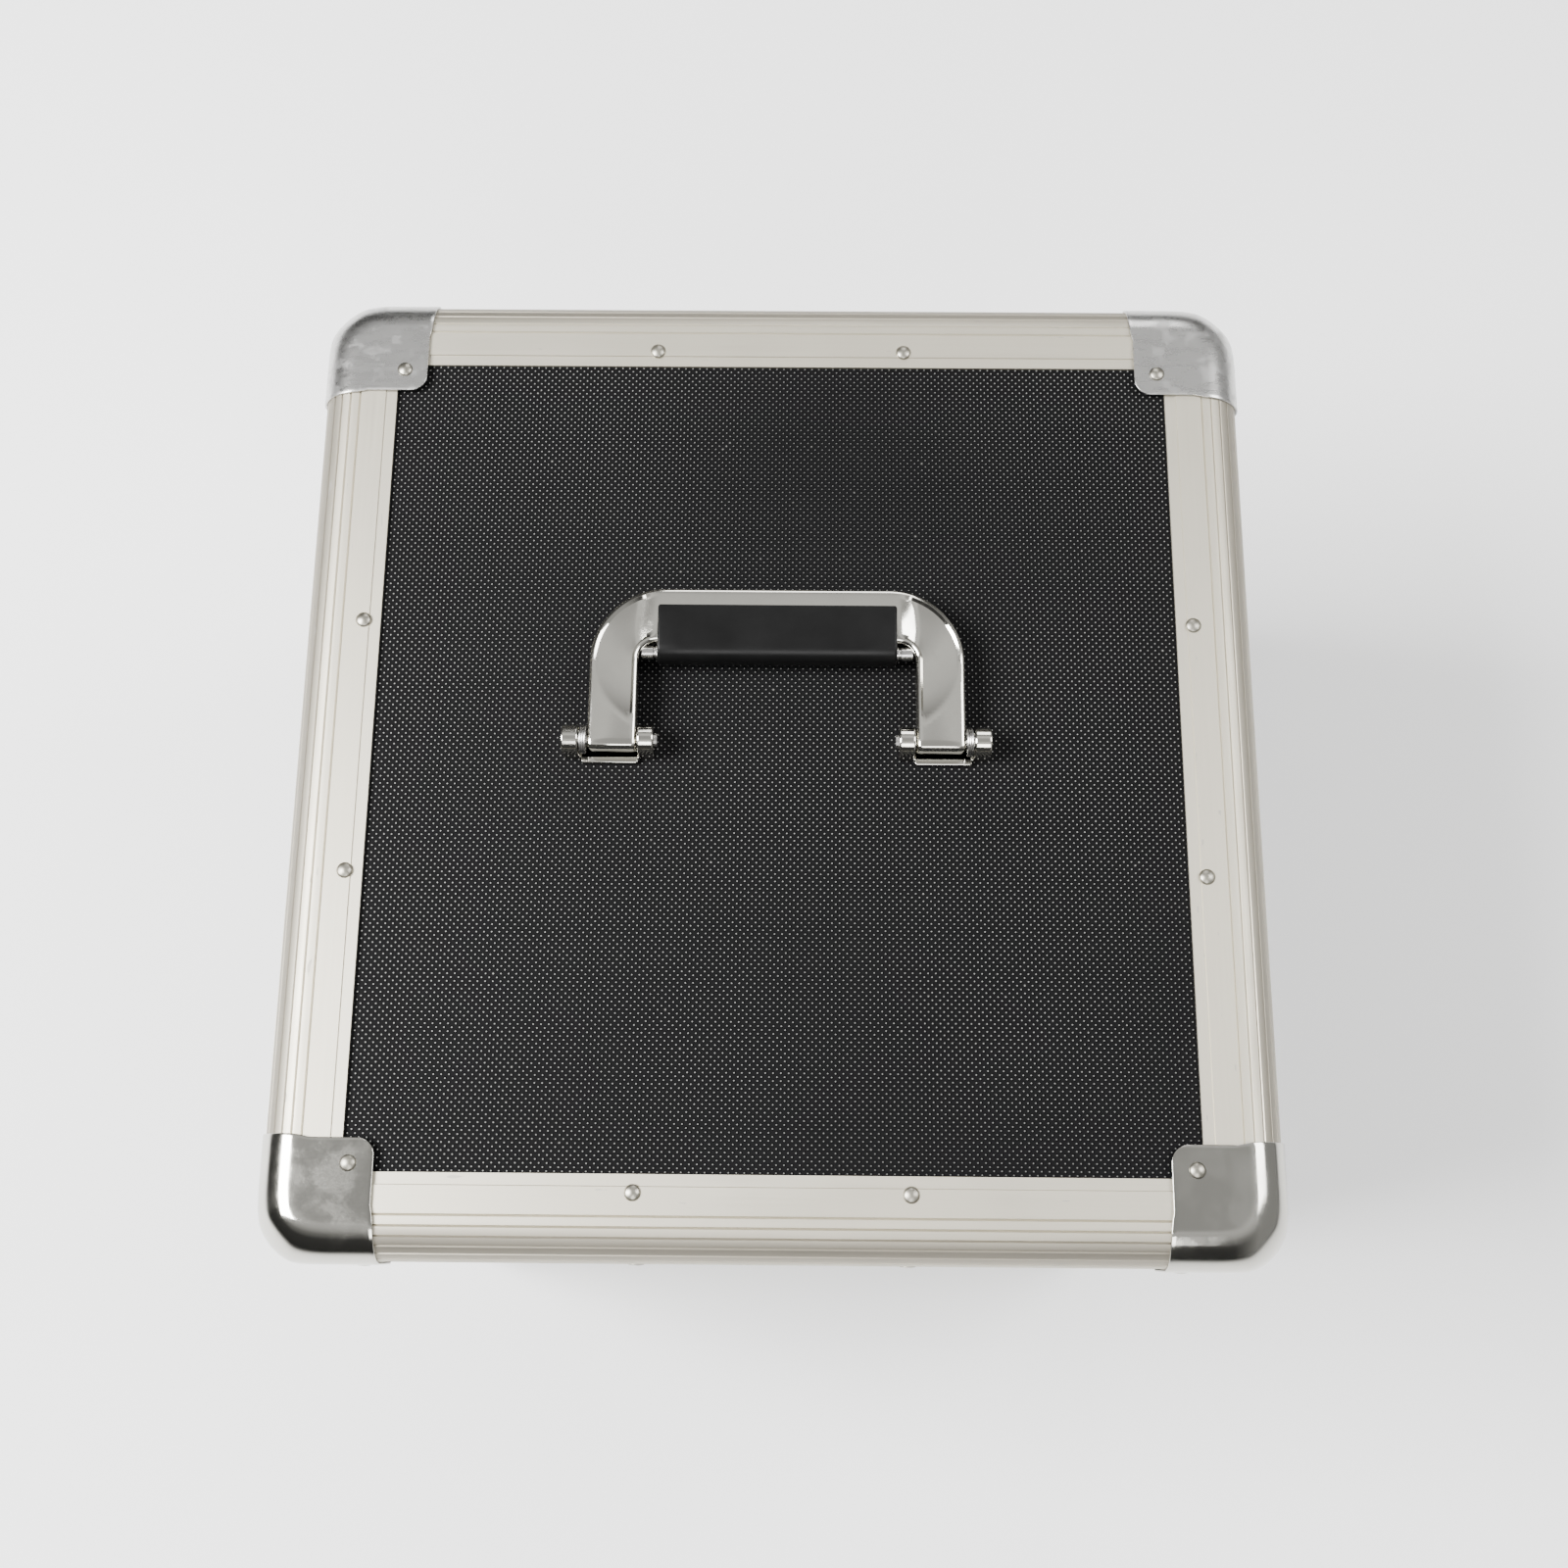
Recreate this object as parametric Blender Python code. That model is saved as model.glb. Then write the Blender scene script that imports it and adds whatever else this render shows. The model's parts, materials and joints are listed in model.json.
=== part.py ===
"""A hinged carrying case for twelve-inch records.

Plywood panels sit in the channels of aluminium edge extrusions, and steel ball corners cap the corners. Two
recessed twist latches hold the lid, a piano hinge carries it, and a sprung handle lies folded back on top.
Metres, +Z up, the latches on the -Y side. The origin is on the ground, under the middle of the part's box.
"""
from math import acos, asin, cos, hypot, pi, radians, sin, tau

import bmesh
import bpy
from mathutils import Matrix, Vector

MM = 0.001
GAP = 0.3 * MM
OVERRUN = 5 * MM
WELD = 0.02 * MM

# Case
CASE_WIDTH = 370 * MM
CASE_DEPTH = 380 * MM
BASE_HEIGHT = 258 * MM
LID_HEIGHT = 97 * MM
FOOT_HEIGHT = 10 * MM
PANEL_THICKNESS = 7 * MM
PANEL_CORNER_RADIUS = 24 * MM
PANEL_CORNER_STEPS = 4
LINING_THICKNESS = 3 * MM
LINING_CORNER_STEPS = 2

# Edge extrusion, its section measured from the two outer faces
FRAME_WIDTH = 31.1 * MM
EDGE_RADIUS = 14.4 * MM
SHEET = 1.5 * MM
LIP_WIDTH = 4.2 * MM
LIP_DROP = 0.4 * MM
GROOVE_COUNT = 8
GROOVE_PITCH = 3.8 * MM
GROOVE_WIDTH = 0.9 * MM
GROOVE_DEPTH = 0.45 * MM
CHANNEL_DEPTH = 20.4 * MM
INNER_LEG = 11.4 * MM
CHAMBER_RADIUS = 2.5 * MM
CHAMBER_STEPS = 8

# Rim extrusion round the mouth, its heights measured from the split
RIM_FLANGE = 18 * MM
RIM_INNER_FLANGE = 14 * MM
RIM_BLOCK = 6 * MM
TONGUE_INSET = 4 * MM
TONGUE_THICKNESS = 1.6 * MM
TONGUE_HEIGHT = 3.4 * MM
TONGUE_TAPER = 0.4 * MM
RIM_CORNER_STEPS = 8

# Ball corner
BALL_RADIUS = 21.2 * MM
CAP_SHEET = 0.9 * MM
CAP_LEG = 43 * MM
CAP_NOTCH_RADIUS = 6.5 * MM
CAP_ARC_STEPS = 6
CAP_NOTCH_STEPS = 3

# Feet
FOOT_RADIUS = 16 * MM
FOOT_TREAD_RADIUS = 14 * MM
FOOT_EDGE = 1.5 * MM
FOOT_STEPS = 20
FOOT_INSET = 52 * MM

# Hinge
HINGE_WIDTH = 286 * MM
HINGE_SHEET = 1.5 * MM
HINGE_LEAF_HEIGHT = 16 * MM
HINGE_PIN_RADIUS = 1.5 * MM
HINGE_KNUCKLE_RADIUS = 3.4 * MM
HINGE_KNUCKLES = 11
HINGE_STEPS = 12
HINGE_HEAD_RADIUS = 2.6 * MM
HINGE_HEAD_LENGTH = 1.2 * MM
HINGE_WALL_CLEARANCE = 0.5 * MM

# Latches, their depths measured from the case's front face
LATCH_TO_FRAME = 5.9 * MM
LATCH_FLANGE = 8 * MM
LATCH_HALF_WIDTH = 45 * MM
LATCH_DRAFT = 2 * MM
LATCH_CORNER_RADIUS = 8 * MM
LATCH_CORNER_STEPS = 3
DISH_SHEET = 1 * MM
DISH_DEPTH = 7.6 * MM
BASE_DISH_HEIGHT = 48 * MM
LID_DISH_HEIGHT = 22 * MM
LATCH_SPINDLE_DROP = 24 * MM
PEG_RADIUS = 3.5 * MM
PEG_RISE = 9 * MM
PEG_LENGTH = 4 * MM
PEG_STEPS = 12
SPINDLE_RADIUS = 4 * MM
SPINDLE_STEPS = 16
DISC_RADIUS = 19 * MM
DISC_THICKNESS = 1.2 * MM
DISC_DEPTH = 3.4 * MM
HOOK_THICKNESS = 1.6 * MM
HOOK_DEPTH = 5.2 * MM
HOOK_BAND = 4.2 * MM
HOOK_CLEARANCE = 0.4 * MM
HOOK_LEAD_IN = 0.9 * MM
HOOK_HUB_RADIUS = 9 * MM
HOOK_STEM_FROM = radians(-22)
HOOK_STEM_TO = radians(-8)
HOOK_TIP = radians(25)
HOOK_STEPS = 6
COLLAR_RADIUS = 6 * MM
COLLAR_THICKNESS = 1.2 * MM
WING_RADIUS = 17 * MM
WING_THICKNESS = 1.4 * MM
WING_AXIS_DEPTH = 1.7 * MM
WING_KNUCKLE_RADIUS = 1.3 * MM
WING_KNUCKLE_LENGTH = 22 * MM
WING_STEPS = 10
WING_EYE_RADIUS = 4 * MM
WING_EYE_DROP = 9.5 * MM
EAR_THICKNESS = 2.2 * MM
EAR_HALF_HEIGHT = 2 * MM

# Handle, its heights measured from the top panel and its lengths from the pivot
HANDLE_PIVOT_HEIGHT = 8.5 * MM
HANDLE_HALF_WIDTH = 70.9 * MM
HANDLE_ARM_WIDTH = 18.5 * MM
HANDLE_REACH = 59.2 * MM
HANDLE_HEEL = 4.2 * MM
HANDLE_THICKNESS = 9 * MM
HANDLE_ELBOW_RADIUS = 28.5 * MM
HANDLE_ELBOW_STEPS = 8
HANDLE_FILLET_RADIUS = 6.6 * MM
HANDLE_FILLET_STEPS = 3
HANDLE_BAR_WIDTH = 21.2 * MM
HANDLE_EDGE_BEVEL = 2.4 * MM
HANDLE_EDGE_ANGLE = radians(60)
GRIP_WIDTH = 21.4 * MM
GRIP_THICKNESS = 13.6 * MM
GRIP_BACK = 7.4 * MM
GRIP_ROUND = 5.5 * MM
GRIP_ROUND_STEPS = 3
HANDLE_PIN_RADIUS = 2.5 * MM
HANDLE_PIN_STEPS = 14
HANDLE_PIN_STUB = 1.2 * MM
LUG_RADIUS = 5.5 * MM
LUG_STEPS = 10
INNER_LUG_WIDTH = 6.1 * MM
OUTER_LUG_WIDTH = 6.3 * MM
SPRING_ROOM = 3.3 * MM
BRACKET_THICKNESS = 2 * MM
BRACKET_BACK = 5.5 * MM
BRACKET_FRONT = 5.5 * MM
TAB_WIDTH = 21.4 * MM
TAB_FRONT = 7.3 * MM

# Places that follow from the sizes above
HALF_WIDTH = CASE_WIDTH / 2
HALF_DEPTH = CASE_DEPTH / 2
BOTTOM_Z = FOOT_HEIGHT
SPLIT_Z = BOTTOM_Z + BASE_HEIGHT
TOP_Z = SPLIT_Z + LID_HEIGHT
PANEL_SINK = SHEET + GAP
PANEL_BACK = PANEL_SINK + PANEL_THICKNESS
CHANNEL_FLOOR = FRAME_WIDTH - CHANNEL_DEPTH
PANEL_INSET = CHANNEL_FLOOR + GAP
LEG_FROM = PANEL_BACK + GAP
LEG_TO = LEG_FROM + SHEET
LINING_INSET = LEG_TO + GAP
CAP_PROUD = GAP + CAP_SHEET
EDGE_CUT = FRAME_WIDTH + GAP
CAP_NECK = EDGE_CUT + CAP_SHEET
RIM_PANEL_GAP = RIM_BLOCK + GAP
HINGE_AXIS_OUT = HINGE_KNUCKLE_RADIUS + HINGE_WALL_CLEARANCE
HINGE_Y = HALF_DEPTH + HINGE_AXIS_OUT
BACK_REACH = HINGE_Y + HINGE_KNUCKLE_RADIUS
FRONT_REACH = HALF_DEPTH + CAP_PROUD
CASE_SHIFT_Y = (FRONT_REACH - BACK_REACH) / 2
PANEL_TOP_Z = TOP_Z - PANEL_SINK
PEG_RING = LATCH_SPINDLE_DROP + PEG_RISE
HOOK_INNER_RADIUS = PEG_RING + PEG_RADIUS + HOOK_CLEARANCE
HOOK_OUTER_RADIUS = HOOK_INNER_RADIUS + HOOK_BAND
DISH_BACK = DISH_DEPTH + DISH_SHEET
LATCH_X = HALF_WIDTH - FRAME_WIDTH - LATCH_TO_FRAME - LATCH_FLANGE - LATCH_HALF_WIDTH
ARM_INNER = HANDLE_HALF_WIDTH - HANDLE_ARM_WIDTH
GRIP_HALF = ARM_INNER - HANDLE_FILLET_RADIUS - GAP
INNER_LUG_TO = ARM_INNER - GAP
INNER_LUG_FROM = INNER_LUG_TO - INNER_LUG_WIDTH
OUTER_LUG_FROM = HANDLE_HALF_WIDTH + SPRING_ROOM
OUTER_LUG_TO = OUTER_LUG_FROM + OUTER_LUG_WIDTH

X_AXIS, Y_AXIS, Z_AXIS = Vector((1, 0, 0)), Vector((0, 1, 0)), Vector((0, 0, 1))
SMOOTH_ANGLE = radians(32)


def look(name, colour, roughness, metallic):
    """A material with one Principled BSDF."""
    material = bpy.data.materials.new(name)
    material.use_nodes = True
    shader = material.node_tree.nodes["Principled BSDF"]
    shader.inputs["Base Color"].default_value = (*colour, 1)
    shader.inputs["Roughness"].default_value = roughness
    shader.inputs["Metallic"].default_value = metallic
    return material


def hub(name, position, carrier=None):
    """An empty on a joint's axis, or at the case's centre, which carries the pieces of one body."""
    empty = bpy.data.objects.new(name, None)
    bpy.context.collection.objects.link(empty)
    empty.location = Vector(position) - (place_of(carrier) if carrier else Vector())
    empty.parent = carrier
    return empty


def place_of(empty):
    """An empty's place in the case's own frame."""
    here = empty.location.copy()
    return here + place_of(empty.parent) if empty.parent else here


def solid(name, bm, material, carrier, origin=(0, 0, 0), across=X_AXIS, along=Y_AXIS):
    """An object from a bmesh, with its x and y axes turned to two directions, on its carrier."""
    bmesh.ops.recalc_face_normals(bm, faces=bm.faces)
    mesh = bpy.data.meshes.new(name)
    bm.to_mesh(mesh)
    bm.free()
    mesh.shade_smooth()
    mesh.set_sharp_from_angle(angle=SMOOTH_ANGLE)
    piece = bpy.data.objects.new(name, mesh)
    bpy.context.collection.objects.link(piece)
    mesh.materials.append(material)
    turn = Matrix((across, along, across.cross(along))).transposed()
    piece.rotation_euler = turn.to_euler()
    piece.parent = carrier
    piece.location = Vector(origin) - place_of(carrier)
    return piece


def sheet(name, bm, outward, thickness, material, carrier, **placing):
    """A pressed sheet: an open surface that faces outward in its own axes, thickened behind it."""
    piece = solid(name, bm, material, carrier, **placing)
    if sum(face.normal.dot(outward) * face.area for face in piece.data.polygons) < 0:
        piece.data.flip_normals()
    wall = piece.modifiers.new("sheet", "SOLIDIFY")
    wall.thickness = thickness
    wall.offset = -1
    wall.use_even_offset = True
    return piece


def as_guide(piece):
    """Marks an object as a cutter, which isn't part of the case."""
    piece.hide_render = True
    piece.display_type = "WIRE"
    return piece


def boolean(piece, other, operation="DIFFERENCE"):
    """Cuts a guide from a piece, or joins it on."""
    modifier = piece.modifiers.new(operation.lower(), "BOOLEAN")
    modifier.operation = operation
    modifier.object = other
    modifier.solver = "EXACT"


def arc(centre_x, centre_y, radius, start, end, steps):
    """Points of an arc, both ends included."""
    turns = [start + (end - start) * step / steps for step in range(steps + 1)]
    return [(centre_x + radius * cos(turn), centre_y + radius * sin(turn)) for turn in turns]


def circle(centre_x, centre_y, radius, steps):
    """Points of a whole circle."""
    return arc(centre_x, centre_y, radius, 0, tau, steps)[:-1]


def rounded_box(x_from, x_to, y_from, y_to, radius, steps):
    """A rectangle with rounded corners, from bottom left round by bottom right."""
    corners = ((x_from + radius, y_from + radius, 2), (x_to - radius, y_from + radius, 3),
               (x_to - radius, y_to - radius, 0), (x_from + radius, y_to - radius, 1))
    outline = []
    for x, y, quarter in corners:
        outline += arc(x, y, radius, quarter * pi / 2, (quarter + 1) * pi / 2, steps)
    return outline


def add_prism(bm, outline, low, high, holes=(), matrix=Matrix.Identity(4)):
    """Fills an outline, leaves its holes open, and extrudes it from one height to another."""
    edges = []
    for loop in (outline, *holes):
        points = [bm.verts.new((x, y, low)) for x, y in loop]
        edges += [bm.edges.new((points[i - 1], points[i])) for i in range(len(points))]
    filled = bmesh.ops.triangle_fill(bm, use_beauty=True, edges=edges, normal=Z_AXIS)
    faces = [item for item in filled["geom"] if isinstance(item, bmesh.types.BMFace)]
    near = list({point for face in faces for point in face.verts})
    raised = bmesh.ops.extrude_face_region(bm, geom=faces, use_keep_orig=True)
    far = [item for item in raised["geom"] if isinstance(item, bmesh.types.BMVert)]
    bmesh.ops.translate(bm, vec=Z_AXIS * (high - low), verts=far)
    bmesh.ops.transform(bm, matrix=matrix, verts=near + far)


def prism(name, outline, low, high, material, carrier, holes=(), **placing):
    """An object extruded from an outline."""
    bm = bmesh.new()
    add_prism(bm, outline, low, high, holes)
    return solid(name, bm, material, carrier, **placing)


def add_turned(bm, profile, steps, matrix=Matrix.Identity(4)):
    """Turns a profile of radius and height round z; its first and last points lie on the axis."""
    rings = []
    for radius, height in profile:
        count = steps if radius else 1
        ring = [bm.verts.new((radius * cos(tau * i / steps), radius * sin(tau * i / steps), height))
                for i in range(count)]
        rings.append(ring)
    for lower, upper in zip(rings, rings[1:]):
        for i in range(steps):
            j = (i + 1) % steps
            below = [lower[i % len(lower)], lower[j % len(lower)]]
            above = [upper[j % len(upper)], upper[i % len(upper)]]
            bm.faces.new(list(dict.fromkeys(below + above)))
    points = [point for ring in rings for point in ring]
    bmesh.ops.transform(bm, matrix=matrix, verts=points)


def rod(bm, axis, start, end, radius, steps, centre=(0, 0, 0)):
    """A plain cylinder along an axis through a centre."""
    turn = Z_AXIS.rotation_difference(axis).to_matrix().to_4x4()
    profile = [(0, start), (radius, start), (radius, end), (0, end)]
    add_turned(bm, profile, steps, Matrix.Translation(centre) @ turn)


def box(bm, low, high):
    """A rectangular block between two corners."""
    size = [b - a for a, b in zip(low, high)]
    middle = [(a + b) / 2 for a, b in zip(low, high)]
    bmesh.ops.create_cube(bm, size=1, matrix=Matrix.Translation(middle) @ Matrix.Diagonal((*size, 1)))


def surface_point(travel, sink=0):
    """A point of the extrusion's outer surface, by the distance along it from one lip to the other."""
    flat = FRAME_WIDTH - EDGE_RADIUS
    quarter = EDGE_RADIUS * pi / 2
    if travel <= flat:
        return FRAME_WIDTH - travel, sink
    if travel >= flat + quarter:
        return sink, EDGE_RADIUS + travel - flat - quarter
    turn = (travel - flat) / EDGE_RADIUS
    radius = EDGE_RADIUS - sink
    return EDGE_RADIUS - radius * sin(turn), EDGE_RADIUS - radius * cos(turn)


def edge_outline():
    """The extrusion's section: a grooved rounding between two flanges, and a channel behind each."""
    middle = FRAME_WIDTH - EDGE_RADIUS + EDGE_RADIUS * pi / 4
    first = middle - GROOVE_PITCH * (GROOVE_COUNT - 1) / 2
    lip = [surface_point(0, LIP_DROP), surface_point(LIP_WIDTH, LIP_DROP), surface_point(LIP_WIDTH)]
    outer = list(lip)
    for index in range(GROOVE_COUNT):
        travel = first + GROOVE_PITCH * index
        outer.append(surface_point(travel - GROOVE_WIDTH / 2))
        outer.append(surface_point(travel, GROOVE_DEPTH))
        outer.append(surface_point(travel + GROOVE_WIDTH / 2))
    outer += [(y, x) for x, y in reversed(lip)]
    leg_end = CHANNEL_FLOOR + INNER_LEG
    side_channel = [(SHEET, FRAME_WIDTH), (SHEET, CHANNEL_FLOOR), (LEG_FROM, CHANNEL_FLOOR),
                    (LEG_FROM, leg_end), (LEG_TO, leg_end), (LEG_TO, LEG_TO)]
    top_channel = [(y, x) for x, y in reversed(side_channel[:-1])]
    return outer + side_channel + top_channel


def chamber_outline():
    """The hollow that runs through the thick part of the extrusion, behind its rounding."""
    centre = (SHEET + CHANNEL_FLOOR) / 2
    return circle(centre, centre, CHAMBER_RADIUS, CHAMBER_STEPS)


def extrusion(name, origin, length, inward, onward, material, carrier):
    """One length of the edge extrusion, centred on the case edge that it covers."""
    prism(name, edge_outline(), -length / 2, length / 2, material, carrier, holes=[chamber_outline()],
          origin=origin, across=inward, along=onward)


def shell_edges(part, carrier, face_z, onward, aluminium):
    """The four level edges and four uprights of the lid or the base, whose flat face is at face_z."""
    level = (("front", -Y_AXIS, HALF_DEPTH, CASE_WIDTH), ("back", Y_AXIS, HALF_DEPTH, CASE_WIDTH),
             ("left", -X_AXIS, HALF_WIDTH, CASE_DEPTH), ("right", X_AXIS, HALF_WIDTH, CASE_DEPTH))
    for side, outward, reach, span in level:
        origin = outward * reach + Z_AXIS * face_z
        extrusion(f"{part}_edge_{side}", origin, span - 2 * EDGE_CUT, -outward, onward, aluminium, carrier)
    start = face_z + onward.z * EDGE_CUT
    end = SPLIT_Z - onward.z * (RIM_FLANGE + GAP)
    for depth_side, y_sign in (("front", -1), ("back", 1)):
        for width_side, x_sign in (("left", -1), ("right", 1)):
            origin = (x_sign * HALF_WIDTH, y_sign * HALF_DEPTH, (start + end) / 2)
            extrusion(f"{part}_upright_{depth_side}_{width_side}", origin, abs(end - start),
                      X_AXIS * -x_sign, Y_AXIS * -y_sign, aluminium, carrier)


def rim_outline(with_tongue):
    """The rim's section from the outer face inwards, with heights from the split towards its own panel."""
    meeting = GAP / 2
    outer = [(0, meeting), (0, RIM_FLANGE), (SHEET, RIM_FLANGE), (SHEET, RIM_BLOCK), (LEG_FROM, RIM_BLOCK),
             (LEG_FROM, RIM_INNER_FLANGE), (LEG_TO, RIM_INNER_FLANGE), (LEG_TO, meeting)]
    tongue_back = TONGUE_INSET + TONGUE_THICKNESS
    if with_tongue:
        return outer + [(tongue_back, meeting), (tongue_back - TONGUE_TAPER, -TONGUE_HEIGHT),
                        (TONGUE_INSET + TONGUE_TAPER, -TONGUE_HEIGHT), (TONGUE_INSET, meeting)]
    roof = TONGUE_HEIGHT + GAP
    return outer + [(tongue_back + GAP + roof, meeting), (tongue_back + GAP, roof),
                    (TONGUE_INSET - GAP, roof), (TONGUE_INSET - GAP, meeting)]


def rim(part, upward, slots, material, carrier):
    """The rim extrusion, bent from one length round the mouth, with room cut in it for the latch dishes."""
    outline = rim_outline(with_tongue=upward < 0)
    bm = bmesh.new()
    stations = []
    for index, (x_sign, y_sign) in enumerate(((1, 1), (-1, 1), (-1, -1), (1, -1))):
        centre = Vector((x_sign * (HALF_WIDTH - EDGE_RADIUS), y_sign * (HALF_DEPTH - EDGE_RADIUS), 0))
        for step in range(RIM_CORNER_STEPS + 1):
            turn = pi / 2 * (index + step / RIM_CORNER_STEPS)
            outward = Vector((cos(turn), sin(turn), 0))
            points = [centre + outward * (EDGE_RADIUS - inset) + Z_AXIS * upward * height
                      for inset, height in outline]
            stations.append([bm.verts.new(point) for point in points])
    count = len(outline)
    for i, station in enumerate(stations):
        before = stations[i - 1]
        for k in range(count):
            bm.faces.new((before[k - 1], before[k], station[k], station[k - 1]))
    boolean(solid(f"{part}_rim", bm, material, carrier, origin=(0, 0, SPLIT_Z)), slots)


def shell_panels(part, carrier, face_z, onward, skin, latch_pockets):
    """The flat panel of the lid or base and its four wall panels, each held in the extrusions' channels."""
    half_x, half_y = HALF_WIDTH - PANEL_INSET, HALF_DEPTH - PANEL_INSET
    flat = rounded_box(-half_x, half_x, -half_y, half_y, PANEL_CORNER_RADIUS, PANEL_CORNER_STEPS)
    face = "top" if part == "lid" else "bottom"
    prism(f"{part}_{face}_panel", flat, PANEL_SINK, PANEL_BACK, skin, carrier,
          origin=(0, 0, face_z), across=X_AXIS, along=Y_AXIS * onward.z)
    height = abs(face_z - SPLIT_Z) - PANEL_INSET - RIM_PANEL_GAP
    start = (0, 0, face_z + onward.z * PANEL_INSET)
    walls = (("front", -Y_AXIS, HALF_DEPTH, half_x), ("back", Y_AXIS, HALF_DEPTH, half_x),
             ("left", -X_AXIS, HALF_WIDTH, half_y), ("right", X_AXIS, HALF_WIDTH, half_y))
    for side, outward, reach, half in walls:
        across = onward.cross(-outward)
        outline = rounded_box(-half, half, 0, height, PANEL_CORNER_RADIUS, PANEL_CORNER_STEPS)
        panel = prism(f"{part}_{side}_panel", outline, PANEL_SINK, PANEL_BACK, skin, carrier,
                      origin=Vector(start) + outward * reach, across=across, along=onward)
        if side == "front":
            boolean(panel, latch_pockets)


def lining(part, carrier, face_z, onward, felt):
    """A tub of thin foam behind the panels, open towards the split."""
    bm = bmesh.new()
    half_x, half_y = HALF_WIDTH - LINING_INSET, HALF_DEPTH - LINING_INSET
    outline = rounded_box(-half_x, half_x, -half_y, half_y, EDGE_RADIUS - LINING_INSET, LINING_CORNER_STEPS)
    floor, mouth = [[bm.verts.new((x, y, z)) for x, y in outline]
                    for z in (face_z + onward.z * LINING_INSET, SPLIT_Z - onward.z * GAP)]
    bm.faces.new(floor)
    for i in range(len(outline)):
        bm.faces.new((floor[i - 1], floor[i], mouth[i], mouth[i - 1]))
    sheet(f"{part}_lining", bm, -onward, LINING_THICKNESS, felt, carrier)


def leg_radius(travel):
    """The ball corner's rounding along a leg: the ball's radius, necked down to lie over the extrusion."""
    share = min((travel - BALL_RADIUS) / (CAP_NECK - BALL_RADIUS), 1)
    return BALL_RADIUS + (EDGE_RADIUS + CAP_PROUD - BALL_RADIUS) * share * share * (3 - 2 * share)


def cap_mesh():
    """The outer face of a ball corner: a ball octant, three rounded legs and three flat petals between them.

    Coordinates are distances inwards from the three outer planes that the cap touches.
    """
    bm = bmesh.new()
    end = CAP_LEG + CAP_PROUD
    turns = (lambda v: v, lambda v: Vector((v.y, v.z, v.x)), lambda v: Vector((v.z, v.x, v.y)))
    rows = (BALL_RADIUS, (BALL_RADIUS + CAP_NECK) / 2, CAP_NECK, end)

    def leg_point(travel, turn):
        radius = leg_radius(travel)
        return Vector((travel, radius - radius * sin(turn), radius - radius * cos(turn)))

    octant = []
    for ring in range(CAP_ARC_STEPS + 1):
        tilt = pi / 2 * ring / CAP_ARC_STEPS
        points = []
        for step in range(ring + 1):
            swing = pi / 2 * step / ring if ring else 0
            direction = Vector((sin(tilt) * cos(swing), sin(tilt) * sin(swing), cos(tilt)))
            points.append(bm.verts.new(Vector([BALL_RADIUS] * 3) - direction * BALL_RADIUS))
        octant.append(points)
    for upper, lower in zip(octant, octant[1:]):
        for i in range(len(upper)):
            bm.faces.new((upper[i], lower[i], lower[i + 1]))
        for i in range(len(upper) - 1):
            bm.faces.new((upper[i], lower[i + 1], upper[i + 1]))
    for turn_about in turns:
        grid = [[bm.verts.new(turn_about(leg_point(travel, pi / 2 * step / CAP_ARC_STEPS)))
                 for step in range(CAP_ARC_STEPS + 1)] for travel in rows]
        for one, two in zip(grid, grid[1:]):
            for i in range(CAP_ARC_STEPS):
                bm.faces.new((one[i], one[i + 1], two[i + 1], two[i]))
        side = [(travel, leg_radius(travel)) for travel in rows]
        notch_at = end - CAP_NOTCH_RADIUS
        notch = arc(notch_at, notch_at, CAP_NOTCH_RADIUS, 0, pi / 2, CAP_NOTCH_STEPS)
        outline = side + notch + [(y, x) for x, y in reversed(side[1:])]
        bm.faces.new([bm.verts.new(turn_about(Vector((x, y, 0)))) for x, y in outline])
    bmesh.ops.remove_doubles(bm, verts=bm.verts, dist=WELD)
    return bm


def ball_corner(name, signs, face_z, steel, carrier):
    """One pressed cap. It is alike along its three legs, so mirroring it to a corner gives the same part."""
    bm = cap_mesh()
    inward = Matrix.Diagonal((-signs[0], -signs[1], -signs[2], 1))
    bmesh.ops.transform(bm, matrix=inward, verts=bm.verts)
    planes = Vector((signs[0] * HALF_WIDTH, signs[1] * HALF_DEPTH, face_z))
    sheet(name, bm, signs, CAP_SHEET, steel, carrier, origin=planes + signs * CAP_PROUD)


def ball_corners(part, carrier, face_z, upward, steel):
    """The four caps of the lid or the base."""
    for depth_side, y_sign in (("front", -1), ("back", 1)):
        for width_side, x_sign in (("left", -1), ("right", 1)):
            signs = Vector((x_sign, y_sign, upward))
            ball_corner(f"{part}_corner_{depth_side}_{width_side}", signs, face_z, steel, carrier)


def feet(carrier, rubber):
    """Four tapered rubber feet under the bottom panel."""
    top = BOTTOM_Z + PANEL_SINK - GAP
    profile = [(0, 0), (FOOT_TREAD_RADIUS - FOOT_EDGE, 0), (FOOT_TREAD_RADIUS, FOOT_EDGE),
               (FOOT_RADIUS, top), (0, top)]
    for depth_side, y_sign in (("front", -1), ("back", 1)):
        for width_side, x_sign in (("left", -1), ("right", 1)):
            bm = bmesh.new()
            add_turned(bm, profile, FOOT_STEPS)
            place = (x_sign * (HALF_WIDTH - FOOT_INSET), y_sign * (HALF_DEPTH - FOOT_INSET), 0)
            solid(f"foot_{depth_side}_{width_side}", bm, rubber, carrier, origin=place)


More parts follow.
